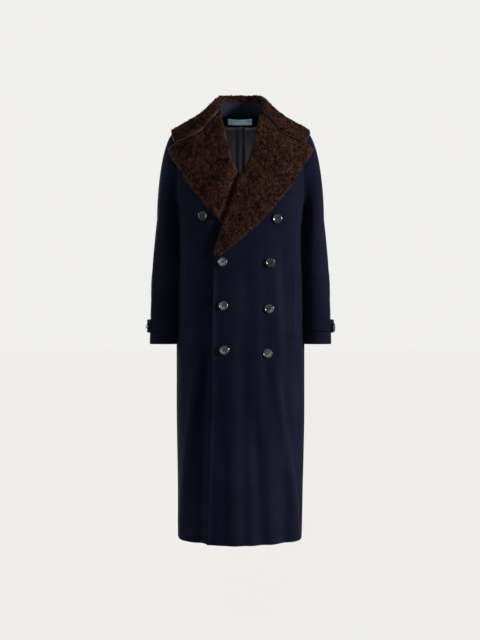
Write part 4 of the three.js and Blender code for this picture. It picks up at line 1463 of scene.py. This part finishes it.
class OVERCOAT_OT_trims(bpy.types.Operator):
    """Lays the pocket welts on the fronts and the straps on the cuffs"""

    bl_idname = "overcoat.trims"
    bl_label = "Pocket Welts and Cuff Straps"

    def execute(self, context):
        for side, sign in SIDES:
            base, away = welt_grid(sign)
            name, thickness = "pocket_welt_" + side, WELT["thickness"]
            outer, piece = laid_wall(name + "_melton", base, away, WELT_GAP, thickness, EDGE_RADIUS)
            keep(piece, "wool", name)
            declare(piece, outer, "laid", rests_on=[f"front_{side}_melton"])
            base, away = strap_grid(sign)
            name, thickness = "cuff_strap_" + side, STRAP["thickness"]
            outer, piece = laid_wall(name + "_melton", base, away, STRAP_GAP, thickness, 1.8)
            keep(piece, "wool", name)
            declare(piece, outer, "laid", rests_on=[f"sleeve_top_{side}_melton"])
        return {"FINISHED"}


HOLE_RING, HOLE_RADIUS, HOLE_DEPTH = 2.9, 1.15, 2.6
HOLED_ABOVE = BUTTON["thickness"] - BUTTON["dish"] - 0.4  # the dish lies above this height
BUTTON_SIDES = 64
STRAND_HALF, STRAND_SIDE = 2.4, 2.05  # half the length of a thread strand, and its distance out


def button_rings():
    """Radius and height of a button's rings: the dish, up over the rim, and round to the back."""
    radius, thick, rim, dish = (BUTTON[k] for k in ("radius", "thickness", "rim", "dish"))
    dished = np.linspace(0.3, radius - rim - 1.2, 17)
    return [(r, thick - dish - 0.25 * (1 - (r / 9.6) ** 2)) for r in dished] + [
        (radius - rim - 0.5, thick - dish + 0.15), (radius - rim, thick - 0.45),
        (radius - 2.1, thick - 0.1), (radius - 1.5, thick), (radius - 0.9, thick - 0.2),
        (radius - 0.35, thick - 0.75), (radius, thick - 1.6), (radius, 1.6),
        (radius - 0.5, 0.7), (radius - 1.6, 0.15), (radius - 3, 0),
    ]


def hole_depth(x, y):
    """How deep the four holes go at places on the dish."""
    depth = 0
    for k in range(4):
        around = math.pi / 4 + k * math.pi / 2
        distance = np.hypot(x - HOLE_RING * math.cos(around), y - HOLE_RING * math.sin(around))
        depth = depth + HOLE_DEPTH * smooth((HOLE_RADIUS + 0.35 - distance) / 0.6)
    return depth


def button_mesh():
    """A four-hole button, its back on the plane z = 0, in millimetres."""
    rings = button_rings()
    dish_edge = BUTTON["radius"] - BUTTON["rim"] - 1
    turn = np.arange(BUTTON_SIDES) * 2 * math.pi / BUTTON_SIDES
    points = [(0, 0, rings[0][1])]
    for r, h in rings:
        x, y = r * np.cos(turn), r * np.sin(turn)
        on_dish = h > HOLED_ABOVE and r < dish_edge
        points.extend(zip(x, y, np.full(BUTTON_SIDES, h) - (hole_depth(x, y) if on_dish else 0)))
    points.append((0, 0, 0))
    pairs = [(k, (k + 1) % BUTTON_SIDES) for k in range(BUTTON_SIDES)]
    faces = [(0, 1 + k, 1 + after) for k, after in pairs]
    for i in range(len(rings) - 1):
        a, b = 1 + i * BUTTON_SIDES, 1 + (i + 1) * BUTTON_SIDES
        faces += [(a + k, b + k, b + after, a + after) for k, after in pairs]
    last = 1 + (len(rings) - 1) * BUTTON_SIDES
    faces += [(last + k, len(points) - 1, last + after) for k, after in pairs]
    return np.array(points), faces


def facing_frame(centre, away):
    """A matrix in metres that lays a flat thing's z along away, its y upwards."""
    z = Vector(away).normalized()
    y = (Vector((0, 0, 1)) - z * z.z).normalized()
    x = y.cross(z)
    turn = Matrix((x, y, z)).transposed().to_4x4()
    return Matrix.Translation(Vector(centre) * MM) @ turn


def front_place(x, z, panel):
    """Where a front button is sewn, and which way the cloth faces there."""
    xs = np.array([x, x - 6, x + 6, x, x], float)
    zs = np.array([z, z, z, z - 6, z + 6], float)
    points = front_point(xs, zs)
    if panel == "under":
        points[:, 1] += under_dip(xs, zs)
    away = unit(np.cross(points[2] - points[1], points[4] - points[3]))
    return points[0], away


def strap_place(sign):
    """Where a cuff button is sewn, and which way the strap faces there."""
    along, turn = strap_along(STRAP_BUTTON["z"]), STRAP_BUTTON["turn"]
    points = sleeve_point(np.array([turn, turn - 0.1, turn + 0.1]), along)
    across = points[1] - points[2]
    away = unit(np.array([-across[1], across[0], 0]))
    away = away if away[0] > 0 else -away
    place = points[0] + away * (STRAP_GAP + STRAP["thickness"] + strap_slack(turn))
    return (place, away) if sign > 0 else (place * [-1, 1, 1], away * [-1, 1, 1])


def all_button_places():
    """The place and facing of every button, by the name of its node."""
    places = {name: front_place(x, z, panel) for name, (x, z, panel) in BUTTONS.items()}
    for side, sign in SIDES:
        places["cuff_button_" + side] = strap_place(sign)
    return places


class OVERCOAT_OT_buttons(bpy.types.Operator):
    """Turns the horn buttons and lays them on the fronts and the cuff straps"""

    bl_idname = "overcoat.buttons"
    bl_label = "Horn Buttons"

    def execute(self, context):
        points, faces = button_mesh()
        for number, (name, (centre, away)) in enumerate(all_button_places().items()):
            frame_here = facing_frame(centre + away * LAY_GAP, away)
            spin = Matrix.Rotation(0.3 * math.sin(number * 2.1), 4, "Z")
            mesh = bpy.data.meshes.new(name + "_horn")
            mesh.from_pydata((points * MM).tolist(), [], faces)
            mesh.transform(frame_here @ spin)
            mesh.polygons.foreach_set("use_smooth", np.ones(len(faces), bool))
            mesh.materials.append(finish("horn"))
            keep(link(name + "_horn", mesh), "horn", name)
        return {"FINISHED"}


def stitch_tree():
    """Stitches along a line: even, each one leaning into the cloth with its line."""
    inputs = {"Pitch": "NodeSocketFloat", "Length": "NodeSocketFloat", "Radius": "NodeSocketFloat",
              "Material": "NodeSocketMaterial"}
    tree, start, end, identifiers = tree_with("Sewn Stitches", inputs)
    curve = node(tree, "GeometryNodeMeshToCurve", {}, {"Mesh": start.outputs["Geometry"]})
    points = node(tree, "GeometryNodeResampleCurve", {"mode": "LENGTH"}, {
        "Curve": curve, "Length": start.outputs["Pitch"]})
    tangent = node(tree, "GeometryNodeInputTangent")
    lie = node(tree, "FunctionNodeAlignRotationToVector", {"axis": "Z"}, {"Vector": tangent})
    bar = node(tree, "GeometryNodeMeshCylinder", {}, {
        "Vertices": 6, "Side Segments": 2, "Radius": start.outputs["Radius"],
        "Depth": start.outputs["Length"]})
    placed = node(tree, "GeometryNodeInstanceOnPoints", {}, {
        "Points": points, "Instance": bar, "Rotation": lie})
    real = node(tree, "GeometryNodeRealizeInstances", {}, {"Geometry": placed})
    painted = node(tree, "GeometryNodeSetMaterial", {}, {
        "Geometry": real, "Material": start.outputs["Material"]})
    smooth_shade = node(tree, "GeometryNodeSetShadeSmooth", {}, {"Geometry": painted})
    tree.links.new(smooth_shade.socket, end.inputs["Geometry"])
    return tree, identifiers


def stitched(name, lines, pitch, length, radius, made):
    """One piece of stitching along lines of points in millimetres."""
    points, edges = [], []
    for line in lines:
        start = len(points)
        points.extend((np.asarray(line) * MM).tolist())
        edges.extend((start + i, start + i + 1) for i in range(len(line) - 1))
    mesh = bpy.data.meshes.new(name)
    mesh.from_pydata(points, edges, [])
    piece = link(name, mesh)
    tree, identifiers = made
    run_tree(piece, tree, identifiers, {
        "Pitch": pitch, "Length": length, "Radius": radius, "Material": finish("thread")})
    return keep(piece, "wool")


def thread_arch(x):
    """One strand of thread over a button's middle, which dives into a hole at each end."""
    places = np.linspace(-STRAND_HALF, STRAND_HALF, 9)
    return [Vector((x, y, 0.15 - 0.9 * (abs(y) / STRAND_HALF) ** 4)) * MM for y in places]


class OVERCOAT_OT_stitching(bpy.types.Operator):
    """Sews the edges, welts, straps, label, buttonholes and buttons"""

    bl_idname = "overcoat.stitching"
    bl_label = "Stitching"

    def execute(self, context):
        sizes = context.scene.overcoat_sizes
        made = stitch_tree()
        pitch, radius = sizes.stitch_pitch, sizes.stitch_radius
        inset = sizes.edge_stitch / MM
        z = np.linspace(HEM + 14, ROLL_TOP, 220)
        over = front_point(read(FRONT_EDGE, "z", "x", z) + inset, z, 0.15)
        over[:, 1] -= edge_roll(inset, z)
        stitched("front_edge_stitching", [over], pitch, pitch * 0.72, radius, made)
        lines = []
        for sign in (1, -1):
            grid, away = welt_grid(sign)
            raised = grid + away * (WELT_GAP + WELT["thickness"] + STITCH_LIFT)
            lines += [raised[4:-4, 3], raised[4:-4, -4], raised[4, 3:-3], raised[-5, 3:-3]]
        stitched("welt_stitching", lines, pitch, pitch * 0.72, radius, made)
        lines = []
        for sign in (1, -1):
            base, away = strap_grid(sign)
            raised = base + away * (STRAP_GAP + STRAP["thickness"] + STITCH_LIFT)
            lines += [raised[2, 2:-2], raised[-3, 2:-2], raised[2:-2, 3], raised[2:-2, -4]]
        stitched("strap_stitching", lines, pitch, pitch * 0.72, radius, made)
        self.cuff_seams(pitch, radius, made)
        self.label_sewing(pitch, radius, made)
        self.stand_rows(pitch, radius, made)
        self.buttonholes(radius, made)
        self.button_thread(radius, made)
        return {"FINISHED"}

    def cuff_seams(self, pitch, radius, made):
        turn = np.linspace(0, 2 * math.pi, 160)
        along = strap_along(CUFF_SEAM - 4)
        ring = sleeve_point(turn, along)
        away = ring - sleeve_middle(along)
        away[:, 2] = 0
        ring = ring + unit(away) * 0.12
        stitched("cuff_seam_stitching", [ring, ring * [-1, 1, 1]], pitch, pitch * 0.7, radius, made)

    def label_sewing(self, pitch, radius, made):
        place = CLOTH + 2 * LOOSE_GAP + FACING["thickness"] + LABEL["thickness"] + 0.1
        lines = []
        for x in (LABEL["left"] + 1.5, LABEL["right"] - 1.5):
            z = np.linspace(LABEL["bottom"] + 1, LABEL["top"] - 1, 12)
            xs = np.full(12, x)
            grid = back_point(np.stack([xs, xs + 1], -1), np.stack([z, z], -1))
            lines.append((grid + grid_normals(grid) * place)[:, 0])
        stitched("label_stitching", lines, pitch * 0.6, pitch * 0.45, radius * 0.8, made)

    def stand_rows(self, pitch, radius, made):
        grid = stand_grid()
        raised = grid + grid_normals(grid) * 0.15
        lines = [raised[:44, column] for column in (2, 4, 6)]
        lines += [line * [-1, 1, 1] for line in lines]
        stitched("stand_stitching", lines, pitch, pitch * 0.72, radius, made)

    def buttonholes(self, radius, made):
        lines = []
        for name in BUTTONHOLES:
            x, z, _ = BUTTONS[name]
            for side in (-1, 1):
                xs = np.linspace(x + 2, x + 27, 40)
                lines.append(front_point(xs, np.full(40, z + side * 1.0), 0.15))
            xs = np.full(10, x + 27.6)
            lines.append(front_point(xs, np.linspace(z - 1.6, z + 1.6, 10), 0.15))
        stitched("buttonhole_stitching", lines, 0.0009, 0.0014, radius, made)

    def button_thread(self, radius, made):
        lines = []
        for centre, away in all_button_places().values():
            turn = facing_frame(centre + away * (LAY_GAP + 3.3), away)
            for side in (-1, 1):
                for shift in (-0.35, 0.35):
                    strand = thread_arch(side * STRAND_SIDE + shift)
                    lines.append([np.array(turn @ point) / MM for point in strand])
        stitched("button_thread", lines, 0.0007, 0.0009, radius * 1.2, made)


CAMERA_DISTANCE = 3.2
CAMERA_HEIGHT = -0.555
CAMERA_SIDE = -0.0015
LENS = 60.0  # with a 36 mm sensor on the frame's long side, 3 mm to a pixel at the coat's middle
FLOOR_BELOW_HEM = 0.62
FLOOR_RADIUS, FLOOR_SIDES = 40, 96
AMBIENT = 0.33  # the studio's all-round light, against the brightness of its backdrop
BACKDROP = (0.871, 0.863, 0.847)
SUNS = (  # name, strength, angle in degrees, direction and colour
    ("key", 10.5, 12, (-0.90, 0.34, -0.26), (1, 0.99, 0.97)),
    ("front_fill", 0.75, 30, (0.05, 0.97, -0.22), (0.97, 0.98, 1)),
    ("side_fill", 3.2, 40, (0.98, 0.05, -0.17), (0.98, 0.98, 1)),
    ("back_fill", 2.6, 40, (0.35, -0.9, -0.33), (1, 1, 1)),
)


def add_sun(name, strength, angle, direction, colour):
    data = bpy.data.lights.new(name, "SUN")
    data.energy = strength
    data.angle = math.radians(angle)
    data.color = colour
    light = bpy.data.objects.new(name, data)
    light.rotation_euler = Vector(direction).to_track_quat("-Z", "Y").to_euler()
    bpy.context.scene.collection.objects.link(light)


class OVERCOAT_OT_stage(bpy.types.Operator):
    """Sets the camera, the pale floor and the soft studio light"""

    bl_idname = "overcoat.stage"
    bl_label = "Camera, Floor and Light"

    def execute(self, context):
        self.camera(context.scene)
        self.floor()
        self.backdrop(context.scene)
        for sun in SUNS:
            add_sun(*sun)
        context.scene.view_settings.view_transform = "Standard"
        return {"FINISHED"}

    def camera(self, scene):
        camera = bpy.data.objects.new("camera", bpy.data.cameras.new("camera"))
        camera.data.lens = LENS
        camera.location = (CAMERA_SIDE, -CAMERA_DISTANCE, CAMERA_HEIGHT)
        camera.rotation_euler = (math.pi / 2, 0, 0)
        scene.collection.objects.link(camera)
        scene.camera = camera

    def floor(self):
        height = HEM * MM - FLOOR_BELOW_HEM
        turns = np.arange(FLOOR_SIDES) * 2 * math.pi / FLOOR_SIDES
        ring = [(FLOOR_RADIUS * math.cos(a), FLOOR_RADIUS * math.sin(a), height) for a in turns]
        mesh = bpy.data.meshes.new("floor")
        mesh.from_pydata(ring, [], [tuple(range(FLOOR_SIDES))])
        mesh.materials.append(finish("floor"))
        link("floor", mesh)

    def backdrop(self, scene):
        """Full strength where the camera sees it, and less where it lights the coat."""
        world = bpy.data.worlds.new("studio")
        world.use_nodes = True
        tree = world.node_tree
        background = tree.nodes["Background"]
        seen = node(tree, "ShaderNodeLightPath")
        fill(tree, background.inputs["Color"], BACKDROP)
        fill(tree, background.inputs["Strength"], seen * (1 - AMBIENT) + AMBIENT)
        scene.world = world


class OVERCOAT_PT_panel(bpy.types.Panel):
    """Lists the coat's pieces, sizes and colours"""

    bl_idname = "OVERCOAT_PT_panel"
    bl_label = "Overcoat"
    bl_space_type = "VIEW_3D"
    bl_region_type = "UI"
    bl_category = "Overcoat"

    def draw(self, context):
        layout = self.layout
        for group in (context.scene.overcoat_sizes, context.scene.overcoat_colours):
            column = layout.column()
            for name in group.bl_rna.properties.keys():
                if name not in ("rna_type", "name"):
                    column.prop(group, name)
        for operator in OPERATORS:
            layout.operator(operator.bl_idname)


OPERATORS = (
    OVERCOAT_OT_stage,
    OVERCOAT_OT_body,
    OVERCOAT_OT_sleeves,
    OVERCOAT_OT_neck,
    OVERCOAT_OT_trims,
    OVERCOAT_OT_shearling,
    OVERCOAT_OT_buttons,
    OVERCOAT_OT_stitching,
)
CLASSES = (OvercoatSizes, OvercoatColours, *OPERATORS, OVERCOAT_PT_panel)


def register():
    for made in CLASSES:
        bpy.utils.register_class(made)
    bpy.types.Scene.overcoat_sizes = PointerProperty(type=OvercoatSizes)
    bpy.types.Scene.overcoat_colours = PointerProperty(type=OvercoatColours)


def unregister():
    del bpy.types.Scene.overcoat_colours
    del bpy.types.Scene.overcoat_sizes
    for made in reversed(CLASSES):
        bpy.utils.unregister_class(made)


def main():
    register()
    bpy.ops.overcoat.stage()
    bpy.ops.overcoat.body()
    bpy.ops.overcoat.sleeves()
    bpy.ops.overcoat.neck()
    bpy.ops.overcoat.trims()
    bpy.ops.overcoat.shearling()
    bpy.ops.overcoat.buttons()
    bpy.ops.overcoat.stitching()


if __name__ == "__main__":
    main()
